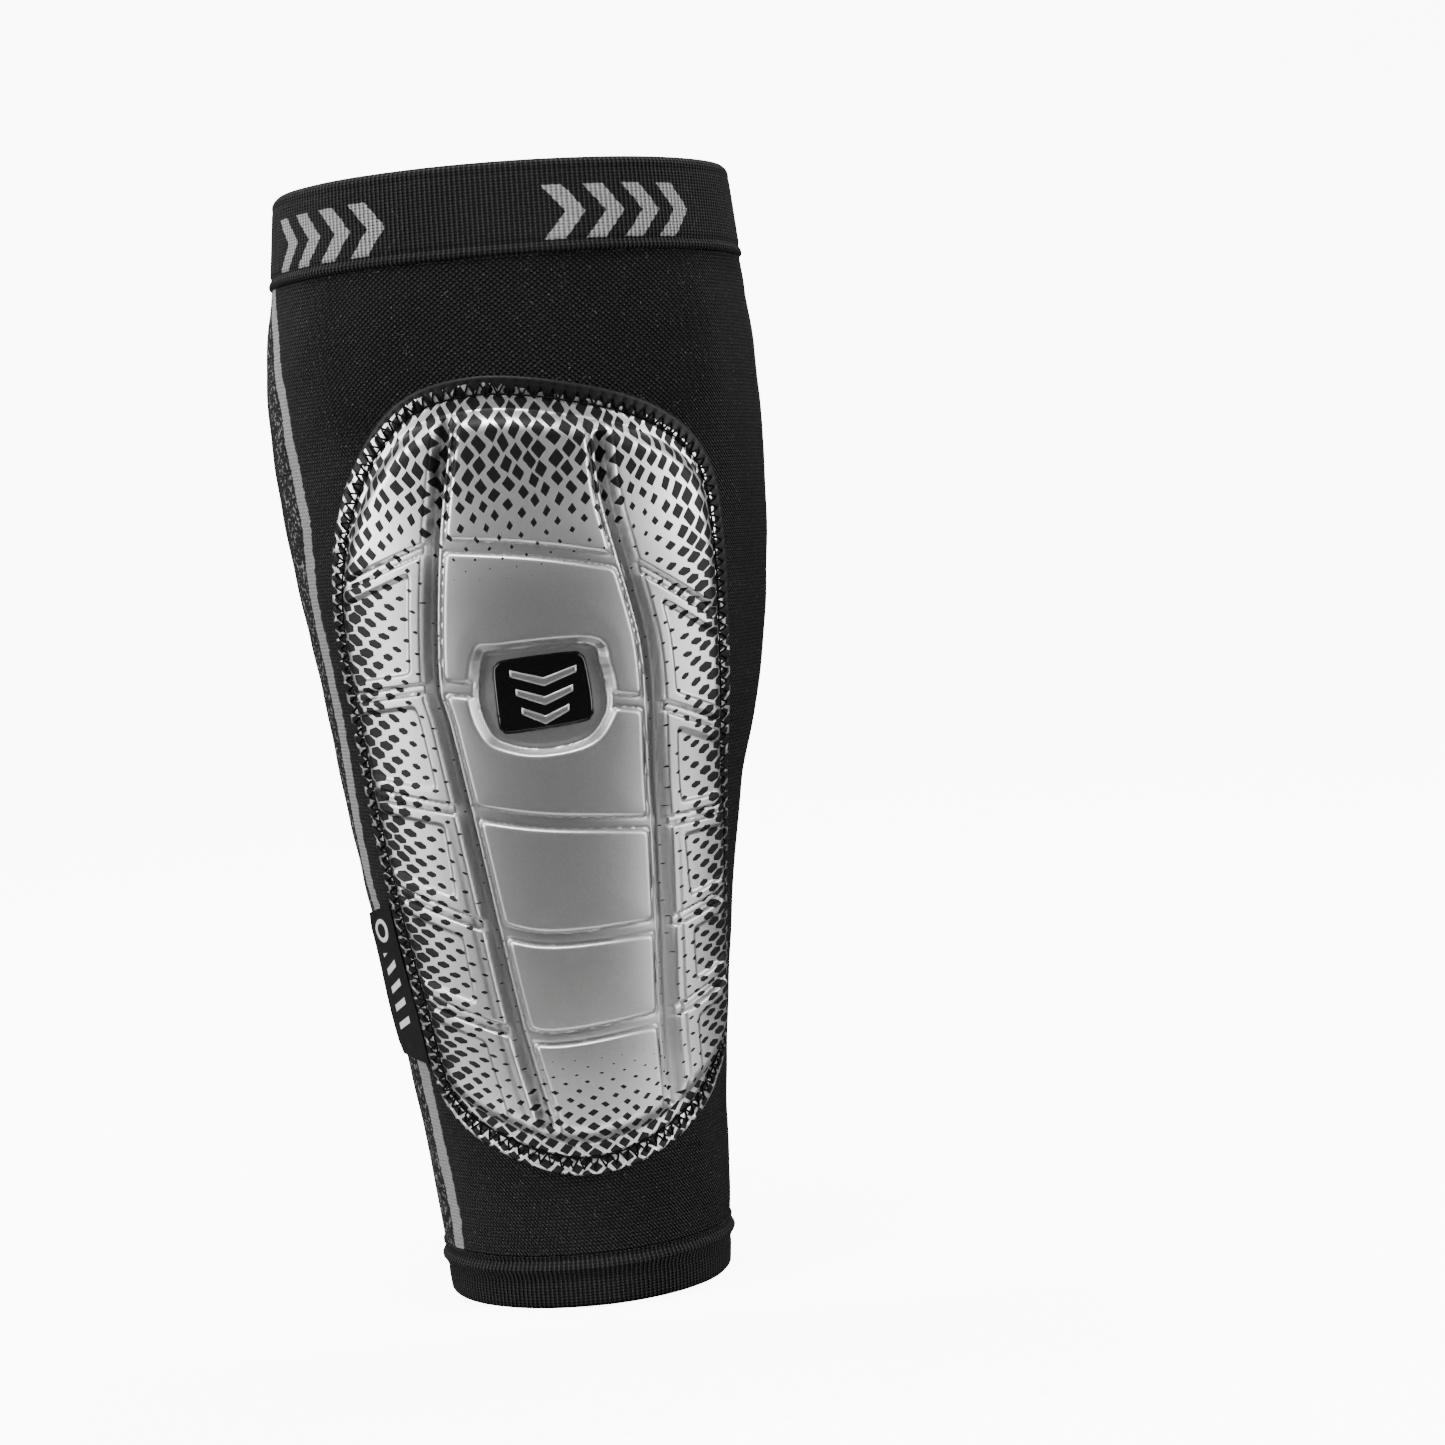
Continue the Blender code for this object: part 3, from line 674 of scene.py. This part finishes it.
def twill(m, x, y):
    """Fine slanting ribs, broken into stitches."""
    slanted = m.math("MULTIPLY_ADD", y, 0.8, x)
    rib = wave(m, slanted, 0.95)
    stitch = wave(m, y, 0.9)
    return m.math("MULTIPLY_ADD", stitch, 0.4, rib)


def knit_material():
    m = Surface("black_knit", Roughness=0.85, Specular_IOR_Level=0.12, Sheen_Weight=0.035,
                Sheen_Roughness=0.4, Sheen_Tint=grey(0.85))
    x, y = m.cloth()
    # Above the pad the knit is a pique, and elsewhere a fine twill.
    upper = m.math("MULTIPLY", m.steps(y, 205, 228), m.steps(m.math("ABSOLUTE", x), 62, 34))
    weave = m.node("ShaderNodeMix", {0: upper, 2: twill(m, x, y), 3: pique(m, x, y)}, 0)
    fuzz = m.noise(1400, 3)
    height = m.math("MULTIPLY_ADD", fuzz, 0.9, weave)
    # The light stripe and the speckled band behind it, down the left side.
    stripe = m.value("stripe")
    ragged = m.math("MULTIPLY_ADD", m.noise(650, 2), 2.0, m.math("ABSOLUTE", stripe))
    on_stripe = m.steps(ragged, 3.8, 3.4)
    band = m.math("MULTIPLY", m.steps(stripe, -3.2, -3.8), m.steps(stripe, -14.0, -12.5))
    specks = m.steps(m.noise(900, 1), 0.56, 0.66)
    on_band = m.product(band, specks, 0.75)
    # Painted highlights: the base colour is lighter on the knit's raised loops and in scattered bright
    # flecks.
    glint = m.math("MULTIPLY", m.steps(weave, 0.2, 1.2), 0.35)
    glint = m.math("MULTIPLY_ADD", m.steps(m.noise(1900, 1), 0.66, 0.8), 0.8, glint)
    base = m.mix(glint, grey(0.004), grey(0.115))
    light = m.mix(m.steps(weave, -0.6, 0.9), grey(0.22), grey(0.55))
    color = m.mix(m.math("MAXIMUM", on_stripe, on_band), base, light)
    m.link(color, "Base Color")
    m.bump(height, 0.00028, 0.9)
    return m.material


# The cuff's motif: the groups' shift and pitch round the leg, and the chevrons' height and pitch.
GROUP_SHIFT = 295.5
GROUP_PITCH = 75.0
CHEVRON_HEIGHT = 267.0
CHEVRON_PITCH = 9.6


def rib_material():
    m = Surface("ribbed_knit", Roughness=0.82, Specular_IOR_Level=0.12, Sheen_Weight=0.035,
                Sheen_Roughness=0.4, Sheen_Tint=grey(0.85))
    x, y = m.cloth()
    rib = wave(m, x, 1.15)
    stitch = wave(m, y, 0.75)
    weave = m.math("MULTIPLY_ADD", stitch, 0.35, rib)
    height = m.math("MULTIPLY_ADD", m.noise(1500, 3), 0.8, weave)
    # The knitted-in motif: groups of plain chevrons, on the upper cuff's outer face only.
    group = m.math("MODULO", m.math("ADD", x, GROUP_SHIFT), GROUP_PITCH)
    on_group = m.steps(group, 47.9, 47.6, False)
    off_back = m.steps(m.math("ABSOLUTE", x), 150, 149, False)
    rise = m.math("ABSOLUTE", m.math("SUBTRACT", y, CHEVRON_HEIGHT))
    ragged = m.math("MULTIPLY", m.math("SUBTRACT", m.noise(900, 1), 0.5), 1.3)
    slanted = m.math("ADD", m.math("MULTIPLY_ADD", rise, 0.8, group), ragged)
    bar = m.between(m.math("MODULO", slanted, CHEVRON_PITCH), 0.0, 5.0, 0.3)
    ends = m.between(slanted, 4.9, 48.2, 0.2)
    tall = m.steps(m.math("MULTIPLY_ADD", ragged, 0.3, rise), 6.6, 6.3, False)
    outside = m.steps(m.value("outside"), 0.9, 1.0, False)
    motif = m.product(bar, tall, on_group, off_back, ends, outside)
    # The ribs' raised tops are painted lighter than their hollows in the base colour, a painted highlight.
    base = m.mix(m.steps(weave, 0.1, 1.1), grey(0.006), grey(0.04))
    light = m.mix(m.steps(weave, -0.7, 0.8), grey(0.22), grey(0.48))
    m.link(m.mix(motif, base, light), "Base Color")
    m.bump(height, 0.0003, 0.9)
    return m.material


def printed_mark(m, across, up, shift, squeeze_and_highlight):
    """Distance from the middle of a mark in one of the two sets of rows, 1 at its cell's edge."""
    offsets, homes = [], []
    for value in (across, up):
        moved = m.math("ADD", value, shift)
        home = m.math("FLOOR", moved)
        homes.append(home)
        offsets.append(m.math("SUBTRACT", m.math("SUBTRACT", moved, home), 0.5))
    home = m.node("ShaderNodeCombineXYZ", {0: homes[0], 1: homes[1], 2: shift})
    random = m.split(m.node("ShaderNodeTexWhiteNoise", {"Vector": home}, "Color", noise_dimensions="3D"))
    # Each mark is moved and skewed a little by chance.
    da = m.math("MULTIPLY_ADD", m.math("SUBTRACT", random[0], 0.5), 0.11, offsets[0])
    db = m.math("MULTIPLY_ADD", m.math("SUBTRACT", random[1], 0.5), 0.07, offsets[1])
    skew = m.math("MULTIPLY", m.math("SUBTRACT", random[2], 0.5), m.math("MULTIPLY_ADD", squeeze_and_highlight, 0.5, 0.4))
    db = m.math("MULTIPLY_ADD", da, skew, db)
    da, db = m.math("ABSOLUTE", da), m.math("ABSOLUTE", db)
    # Six sides: two upright ones, and four that slant to a point above and below.
    upright = m.math("DIVIDE", da, m.math("MULTIPLY_ADD", squeeze_and_highlight, -0.16, 0.5))
    slant = m.math("MULTIPLY", da, m.math("MULTIPLY_ADD", squeeze_and_highlight, 1.16, 0.44))
    slant = m.math("DIVIDE", m.math("ADD", slant, db), m.math("MULTIPLY_ADD", squeeze_and_highlight, 0.225, 0.38))
    return m.math("MAXIMUM", upright, slant)


def film_material():
    m = Surface("silver_film", Specular_IOR_Level=0.2)
    across, up, squeeze_and_highlight = m.value("print_across"), m.value("print_up"), m.value("print_squeeze_and_highlight")
    # The rows wander a little.
    where = m.node("ShaderNodeCombineXYZ", {0: across, 1: up})
    wobble = m.split(m.node("ShaderNodeTexNoise", {"Vector": where, "Scale": 0.5, "Detail": 0.0}, "Color"))
    across = m.math("MULTIPLY_ADD", wobble[0], 0.4, across)
    up = m.math("MULTIPLY_ADD", wobble[1], 0.3, up)
    # Every other row is half a step along, so the marks lie on two sets of rows.
    nearest = m.math("MINIMUM", *(printed_mark(m, across, up, shift, squeeze_and_highlight) for shift in (0.0, 0.5)))
    left = m.math("SUBTRACT", m.value("print_size"), nearest)
    ink = m.steps(left, -0.015, 0.015, False)
    grain = m.noise(2600, 2)
    silver = m.mix(grain, grey(0.46), grey(0.58))
    # Towards the pad's two ends, and most at the top, the silver is painted lighter: a painted highlight
    # where the film curves away towards the light.
    silver = m.mix(m.math("MULTIPLY", squeeze_and_highlight, 0.7), silver, grey(0.92))
    m.link(m.mix(ink, silver, grey(0.009)), "Base Color")
    m.link(m.math("MULTIPLY_ADD", ink, -0.92, 0.97), "Metallic")
    m.link(m.math("MULTIPLY_ADD", ink, 0.06, 0.42), "Roughness")
    inked = m.math("MULTIPLY", m.steps(left, -0.02, 0.08), 0.4)
    m.bump(m.math("MULTIPLY_ADD", grain, 0.5, inked), 0.00006, 0.6)
    return m.material


def plain_material(name, color, roughness, bump_scale, bump_depth, **sockets):
    """One colour broken up by a fine grain."""
    m = Surface(name, Roughness=roughness, **sockets)
    grain = m.noise(bump_scale, 3)
    m.link(m.mix(grain, grey(color * 0.7), grey(color * 1.3)), "Base Color")
    m.bump(grain, bump_depth)
    return m.material


def label_material():
    m = Surface("woven_label", Roughness=0.7, Specular_IOR_Level=0.15, Sheen_Weight=0.02)
    x, y = m.cloth()
    weave = m.math("MULTIPLY", wave(m, x, 0.45), wave(m, y, 0.45))
    # A plain woven mark: a ring and slanting bars, along the label.
    from_x = m.math("POWER", m.math("SUBTRACT", x, 6.2), 2.0)
    from_y = m.math("POWER", m.math("SUBTRACT", y, 35.0), 2.0)
    from_ring = m.math("POWER", m.math("ADD", from_x, from_y), 0.5)
    slanted = m.math("MODULO", m.math("MULTIPLY_ADD", x, 0.5, y), 5.0)
    edge = 0.2
    bars = m.product(m.between(slanted, 2.0, 4.0, edge), m.between(y, 7.0, 29.0, edge),
                     m.between(x, 3.6, 8.8, edge))
    mark = m.math("MAXIMUM", m.between(from_ring, 1.9, 3.3, edge), bars)
    base = m.mix(m.steps(weave, -0.5, 0.8), grey(0.004), grey(0.012))
    m.link(m.mix(mark, base, grey(0.8)), "Base Color")
    m.bump(weave, 0.00008)
    return m.material


KNIT = knit_material()
RIB = rib_material()
FILM_LOOK = film_material()
THREAD = plain_material("black_thread", 0.004, 0.85, 4000, 0.00006, Specular_IOR_Level=0.1)
FOAM = plain_material("pad_foam", 0.05, 0.9, 1500, 0.0003)
BACKING_LOOK = plain_material("backing_fabric", 0.02, 0.9, 1800, 0.0002, Sheen_Weight=0.2)
BADGE_LOOK = plain_material("badge_gloss", 0.003, 0.12, 900, 0.000004, Specular_IOR_Level=0.4)
BADGE_TRIM = plain_material("badge_trim", 0.42, 0.3, 2600, 0.00001, Metallic=0.8)
LABEL_LOOK = label_material()


# ---------------------------------------------------------------- the sleeve and its cuffs

# The pieces of each soft layer, one for each band from the top down.
SLEEVES, FILMS, BACKINGS, STITCHES = [], [], [], []

# The light stripe's front edge, as (s, z), from the bottom up.
STRIPE = np.array(((-37.2, 19.3), (-38.8, 38.6), (-40.9, 59.1), (-55, 107.3), (-56.6, 130.5),
                   (-61.7, 178.9), (-59.6, 198.9), (-64.1, 224.3), (-69, 243.5), (-80, 280)))
STRIPE_WIDTH = 5.2
# The middle and the half size of the area under the pad, where the knit is smooth.
PAD_MIDDLE = 131
PAD_HALF = (52, 99)


def stripe_distance(s, z):
    """Distance in front of the middle of the light stripe, negative behind it."""
    return s + STRIPE_WIDTH / 2 - np.interp(z, STRIPE[:, 1], STRIPE[:, 0])


def clear_of_pad(s, z):
    """1 well away from the pad and the cuffs, 0 under the pad."""
    points = np.stack([s.reshape(-1), z.reshape(-1)], 1)
    near = np.hypot(points[:, 0] / PAD_HALF[0], (points[:, 1] - PAD_MIDDLE) / PAD_HALF[1])
    away = ease((near - 1.02) / 0.2).reshape(s.shape)
    return away * ease((z - BOTTOM_CUFF - 1) / 8) * ease((TOP_CUFF - 1 - z) / 8)


def sleeve_height(angle, z):
    """h of the knit's outer face, with a small unevenness."""
    s = angle * arc_scale(z)
    wavy = 0.45 * waves(s, z * 0.7, 3, 46) + 0.16 * waves(s, z, 5, 17)
    return wavy * clear_of_pad(s, z)


def make_sleeve():
    for band in BANDS:
        z0 = max(band[1], BOTTOM_CUFF + FACE_GAP)
        z1 = min(band[2], TOP_CUFF - FACE_GAP)
        obj, angle, z = tube_band(f"sleeve_cloth_{band[0]}", z0, z1, 1.5, sleeve_height,
                                  lambda a, z: sleeve_height(a, z) - 1.1, KNIT)
        point_values(obj, "stripe", stripe_distance(angle * arc_scale(z), z))
        round_leg = 2 * math.pi * float(arc_scale(np.array((z0 + z1) / 2))) * MM
        bend(obj, band)
        SLEEVES.append(obj)
    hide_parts("sleeve_top", "sleeve_emblem")
    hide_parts("sleeve_middle")
    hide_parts("sleeve_lower")
    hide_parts("sleeve_bottom")


def top_cuff_height(angle, z):
    """h of the upper cuff: a welt at its foot, a fold near its top and a rounded rim."""
    up = z - TOP_CUFF
    rim = -0.9 * clip01((up - 20.9) / 1.6) ** 2
    welt = 0.3 * np.exp(-((up - 1.0) / 0.9) ** 2) - 0.3 * np.exp(-((up - 2.7) / 0.6) ** 2)
    fold = -0.14 * np.exp(-((up - 19.6) / 0.5) ** 2)
    return 0.55 + rim + welt + fold + 0.15 * waves(angle * 55, z, 8, 30) - 0.5 * clip01(1 - up / 0.6)


def bottom_cuff_height(angle, z):
    """h of the lower cuff: a rounded rim, a fold and a ridge under the sleeve."""
    up = z - 0.5 * np.sin(angle + 0.8)
    rim = -0.8 * clip01(1 - z / 1.2) ** 2
    ridge = 0.85 * np.exp(-((up - 9.6) / 1.1) ** 2) - 0.45 * np.exp(-((up - 11.7) / 0.6) ** 2)
    fold = -0.2 * np.exp(-((up - 6.6) / 0.9) ** 2)
    return 0.5 + rim + ridge + fold + 0.12 * waves(angle * 36, z, 9, 24)


def make_cuffs():
    for name, z0, z1, height, body, node in (
        ("cuff_cloth_top", TOP_CUFF, HEIGHT, top_cuff_height, "top_row", "top_cuff"),
        ("cuff_cloth_bottom", 0.0, BOTTOM_CUFF, bottom_cuff_height, "bottom_row", "bottom_cuff"),
    ):
        end_z = HEIGHT if z0 else 0.0

        def inner(angle, z, end_z=end_z):
            return -1.7 + 0.8 * clip01(1 - np.abs(z - end_z) / 1.2) ** 2

        obj, angles, _ = tube_band(name, z0, z1, 0.5, height, inner, RIB, 360)
        point_values(obj, "outside", np.arange(len(angles)) < len(angles) / 2)
        round_leg = 2 * math.pi * float(arc_scale(np.array((z0 + z1) / 2))) * MM
        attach(obj, body)
        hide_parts(node)


# ---------------------------------------------------------------- the pad

STITCH_COUNT = 188
STITCH_PITCH = float(np.hypot(*np.diff(ring(EDGE), axis=0).T).sum()) / STITCH_COUNT
THREAD_RADIUS = 0.23
FILM_STEP = 0.34


def lattice(s, z):
    """The print's own coordinates, across the leg and up it, in steps between two marks in a line."""
    across = s / (4.65 + 0.002 * z)
    # The rows get closer near the foot, and droop towards the middle.
    level = z - 50 - 0.3 * np.maximum(np.abs(s) - 14, 0)
    low = np.minimum(level, 80)
    up = 0.27 * low - 0.00044 * low**2 + 0.2 * (level - low)
    return across, up


def make_film():
    points, cells = grid_over(EDGE, FILM_STEP)
    f = pad_fields(points)
    height = film_height(points, f)
    size = print_size(points, f)
    across, up = lattice(points[:, 0], points[:, 1])
    # How squeezed the print's cells are towards the pad's two ends; the film's material also paints its
    # silver lighter there, a painted highlight.
    squeeze_and_highlight = np.maximum(ease((points[:, 1] - 175) / 20), 0.6 * ease((66 - points[:, 1]) / 20))
    for band in BANDS:
        obj, used = shell(f"film_skin_{band[0]}", points, in_band(points, cells, band), height, height - FILM,
                          FILM_LOOK, 60)
        point_values(obj, "print_across", across[used])
        point_values(obj, "print_up", up[used])
        point_values(obj, "print_size", size[used])
        point_values(obj, "print_squeeze_and_highlight", squeeze_and_highlight[used])
        bend(obj, band)
        FILMS.append(obj)
    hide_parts("film_top", "film_emblem")
    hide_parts("film_middle")
    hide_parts("film_lower")
    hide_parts("film_bottom")


def make_backing():
    points, cells = grid_over(EDGE, 1.5)
    for band in BANDS:
        faces = in_band(points, cells, band)
        obj, _ = shell(f"backing_cloth_{band[0]}", points, faces,
                       np.full(len(points), BACKING[1]), np.full(len(points), BACKING[0]), BACKING_LOOK)
        bend(obj, band)
        BACKINGS.append(obj)
    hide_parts("backing_top", "backing_emblem")
    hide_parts("backing_middle")
    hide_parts("backing_lower")
    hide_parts("backing_bottom")


FOAM_VOXEL = 0.9


def make_foam():
    """Each foam block, softened from its solid."""
    for node, solid in sorted(frame["nodes"].items()):
        if not node.startswith("foam_"):
            continue
        work = bmesh.new()
        work.from_mesh(solid.data)
        bmesh.ops.remove_doubles(work, verts=work.verts, dist=1e-6)
        mesh = bpy.data.meshes.new(node)
        work.to_mesh(mesh)
        work.free()
        obj = add_object(node.replace("foam_", "padding_"), mesh)
        remesh = obj.modifiers.new("remesh", "REMESH")
        remesh.mode = "VOXEL"
        remesh.voxel_size = FOAM_VOXEL * MM
        soften = obj.modifiers.new("soften", "SMOOTH")
        soften.factor, soften.iterations = 0.5, 5
        bpy.context.view_layer.update()
        final = bpy.data.meshes.new_from_object(obj.evaluated_get(bpy.context.evaluated_depsgraph_get()))
        obj.modifiers.clear()
        obj.data = final
        final.materials.clear()
        final.materials.append(FOAM)
        final.shade_smooth()
        # The foam is soft; its heights pick the band whose bend would carry the film furthest from it.
        heights = np.array([v.co.z for v in final.vertices]) / MM
        bend(obj, main_bend(solid["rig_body"], heights))
        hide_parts(node)


def stitch_path(places, lift):
    """Points and outward directions over the flange for (s, z) places."""
    places = np.asarray(places)
    s, z = places.T
    here = on_pad(s, z, FLANGE_TOP + lift)
    outward = on_pad(s, z, FLANGE_TOP + lift + 1.0) - here
    return here, outward / np.linalg.norm(outward, axis=1)[:, None]


def make_stitching():
    """The zigzag thread over the flange and the straight line inside it."""
    loop = ring(EDGE)
    inward = ring(inward_of(EDGE))
    lengths = np.concatenate([[0], np.cumsum(np.hypot(*np.diff(loop, axis=0).T))])

    def at(along, depth):
        along = np.asarray(along) % lengths[-1]
        place = np.stack([np.interp(along, lengths, loop[:, k]) for k in (0, 1)], -1)
        side = np.stack([np.interp(along, lengths, inward[:, k]) for k in (0, 1)], -1)
        return place + side * np.reshape(depth, (-1, 1))

    # Each stitch is two zigzag legs that part from one outer hole, and one step of the inner line.
    legs, line = [], []
    t = np.linspace(0, 1, 7)
    arch = 0.26 - 0.42 * np.abs(2 * t - 1) ** 3
    outer, inner = NEEDLES
    for k in range(STITCH_COUNT):
        start = k * STITCH_PITCH
        for lean in (-0.46, 0.46):
            legs.append((at(start + STITCH_PITCH * lean * t, outer + (inner - outer) * t), arch))
        line.append((at(start + STITCH_PITCH * (t * 0.94 - 0.5), np.full(7, inner)), arch + 0.05))
    for band in BANDS:
        chosen = [stitch_path(p, lift) for p, lift in legs + line if band[1] < p[3, 1] <= band[2]]
        obj = threads(f"thread_{band[0]}", chosen, THREAD_RADIUS, THREAD)
        bend(obj, band)
        STITCHES.append(obj)
    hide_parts("stitching_top", "stitching_emblem_left", "stitching_emblem_right")
    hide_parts("stitching_middle_left", "stitching_middle_right")
    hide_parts("stitching_lower_left", "stitching_lower_right")
    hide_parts("stitching_bottom")


def make_badge():
    outline = smooth_line(BADGE, 6, closed=True)
    points, cells = grid_over(outline, 0.4)
    depth = depth_in(points, outline)
    base = np.full(len(points), EMBLEM_TOP + 0.05)
    top = base + 0.9 * (1 - (1 - clip01(depth / 0.8)) ** 2) + 0.05
    obj, _ = shell("badge_plate", points, cells, top, base, BADGE_LOOK, 60)
    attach(obj, "emblem_row")
    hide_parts("emblem_badge")
    # Three plain chevrons stand on the plate.
    thick, dip = 1.1, 2.4
    for number, (z, wide) in enumerate(((157.2, 7.0), (152.6, 6.0), (148.0, 5.0))):
        chevron = np.array([(-wide, z + thick), (0, z - dip + thick), (wide, z + thick),
                            (wide, z - thick * 0.6), (0, z - dip - thick), (-wide, z - thick * 0.6)], float)
        chevron[:, 0] += 0.2
        fine = np.vstack([a + (b - a) * np.linspace(0, 1, 6)[:5, None]
                          for a, b in zip(chevron, np.roll(chevron, -1, axis=0))])
        points, cells = grid_over(fine, 0.25)
        depth = depth_in(points, fine)
        base = np.full(len(points), EMBLEM_TOP + 0.9)
        top = base + 0.1 + 0.3 * (1 - (1 - clip01(depth / 0.45)) ** 2)
        mark, _ = shell(f"badge_chevron_{number + 1}", points, cells, top, base, BADGE_TRIM, 60)
        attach(mark, "emblem_row")


LABEL_SIZE = (12.0, 41.0)
# Its sewn edge and its free edge, as (s, z), from the top down.
LABEL_HINGE = np.array(((-44.9, 101.8), (-38.1, 61.4)))
LABEL_FREE = np.array(((-55.4, 99.2), (-56.6, 95.0), (-51.6, 66.5), (-49.6, 63.2)))


def make_label():
    """The woven label: sewn along one edge and lifting a little at the other."""
    rows, columns = 70, 20
    along = np.linspace(0, 1, rows + 1)
    lengths = np.concatenate([[0], np.cumsum(np.hypot(*np.diff(LABEL_FREE, axis=0).T))])
    free = np.stack([np.interp(along * lengths[-1], lengths, LABEL_FREE[:, k]) for k in (0, 1)], -1)
    hinge = LABEL_HINGE[0] + along[:, None] * (LABEL_HINGE[1] - LABEL_HINGE[0])
    t = np.linspace(0, 1, columns + 1)
    places = (hinge[:, None] * (1 - t)[None, :, None] + free[:, None] * t[None, :, None]).reshape(-1, 2)
    across = np.tile(t, rows + 1)
    lift = 1.35 + 0.9 * across**2 + 0.18 * np.sin(across * 3 + np.repeat(along, columns + 1) * 7)
    corner = (np.arange(rows)[:, None] * (columns + 1) + np.arange(columns)).reshape(-1)
    cells = np.stack([corner, corner + 1, corner + columns + 2, corner + columns + 1], 1)
    obj, used = shell("label_cloth", places, cells, lift, lift - 0.6, LABEL_LOOK)
    on_label = np.stack([across * LABEL_SIZE[0], (1 - np.repeat(along, columns + 1)) * LABEL_SIZE[1]], 1)
    set_cloth(obj, on_label[used][corner_points(obj)])
    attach(obj, "label")
    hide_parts("woven_label")


make_sleeve()
make_cuffs()
make_film()
make_backing()
make_foam()
make_stitching()
make_badge()
make_label()


# ---------------------------------------------------------------- floor, light and camera

def make_floor():
    """A pale floor that curves up into a backdrop far behind."""
    m = Surface("pale_floor", Roughness=0.9, Specular_IOR_Level=0.1)
    m.shader.inputs["Base Color"].default_value = grey(0.93)
    m.shader.inputs["Emission Color"].default_value = grey(1.0)
    m.shader.inputs["Emission Strength"].default_value = 9.0
    back, radius = 2.2, 1.2
    rows = [(-6.0, 0.0), (back, 0.0)]
    rows += [(back + radius * math.sin(t), radius - radius * math.cos(t))
             for t in np.linspace(0.1, math.pi / 2, 14)]
    rows.append((back + radius, 6.0))
    under_foot = 0.0006
    verts = [(x, y, z - under_foot) for y, z in rows for x in (-7.0, 7.0)]
    faces = [(2 * i, 2 * i + 1, 2 * i + 3, 2 * i + 2) for i in range(len(rows) - 1)]
    floor = new_mesh("floor", verts, faces, m.material)
    floor.visible_glossy = False
    floor.visible_diffuse = False
    # A faintly glowing card in front of the foot lights the pad from below. The camera doesn't see it.
    card = Surface("white_card", Roughness=0.9)
    card.shader.inputs["Emission Color"].default_value = grey(1.0)
    card.shader.inputs["Emission Strength"].default_value = 0.15
    corners = [(-0.12, -0.15, 0.001), (0.12, -0.15, 0.001), (0.12, -0.055, 0.001), (-0.12, -0.055, 0.001)]
    reflector = new_mesh("reflector", corners, [(0, 1, 2, 3)], card.material)
    reflector.visible_camera = False
    reflector.visible_shadow = False


def area_light(name, place, aim, width, height, power):
    data = bpy.data.lights.new(name, "AREA")
    data.shape, data.size, data.size_y, data.energy = "RECTANGLE", width, height, power
    obj = add_object(name, data)
    obj.location = place
    obj.rotation_euler = (Vector(aim) - Vector(place)).to_track_quat("-Z", "Y").to_euler()


def make_light():
    world = bpy.data.worlds.new("studio")
    world.use_nodes = True
    world.node_tree.nodes["Background"].inputs["Color"].default_value = grey(0.9)
    world.node_tree.nodes["Background"].inputs["Strength"].default_value = 0.12
    bpy.context.scene.world = world
    middle = (0, 0, 0.15)
    area_light("left", (-1.2, -0.5, 0.55), middle, 0.65, 1.3, 25)
    area_light("right", (1.2, -0.5, 0.5), middle, 0.65, 1.3, 20)
    area_light("top", (-0.1, -0.45, 1.6), middle, 0.7, 0.4, 28)
    area_light("backdrop", (0, 0.9, 2.6), (0, 2.2, 0.2), 3.0, 1.0, 120)


def make_camera():
    """The camera, a little above level and turned so that the guard stands left of the middle.

    The lens, and how far the guard's middle stands left of the picture's middle and below it, are in
    millimetres on the sensor.
    """
    aim = Vector((0, 8.5, 140)) * MM
    distance, elevation, roll = 0.8, math.radians(3.0), math.radians(-4.82)
    sensor, lens, to_left, below = 36.0, 77.1023, 4.38478, 0.22422
    place = aim + distance * Vector((0, -math.cos(elevation), math.sin(elevation)))
    ahead = (aim - place).normalized()
    right = ahead.cross(Vector((0, 0, 1))).normalized()
    level = Matrix((right, right.cross(ahead), -ahead)).transposed()
    seen = Vector((-to_left, -below, -lens)).normalized()
    turn = seen.rotation_difference(Vector((0, 0, -1))).to_matrix()
    data = bpy.data.cameras.new("camera")
    data.sensor_width = sensor
    data.lens = lens
    data.clip_end = 50
    camera = add_object("camera", data)
    camera.matrix_world = Matrix.Translation(place) @ (level @ Matrix.Rotation(roll, 3, "Z") @ turn).to_4x4()
    bpy.context.scene.camera = camera


make_floor()
make_light()
make_camera()
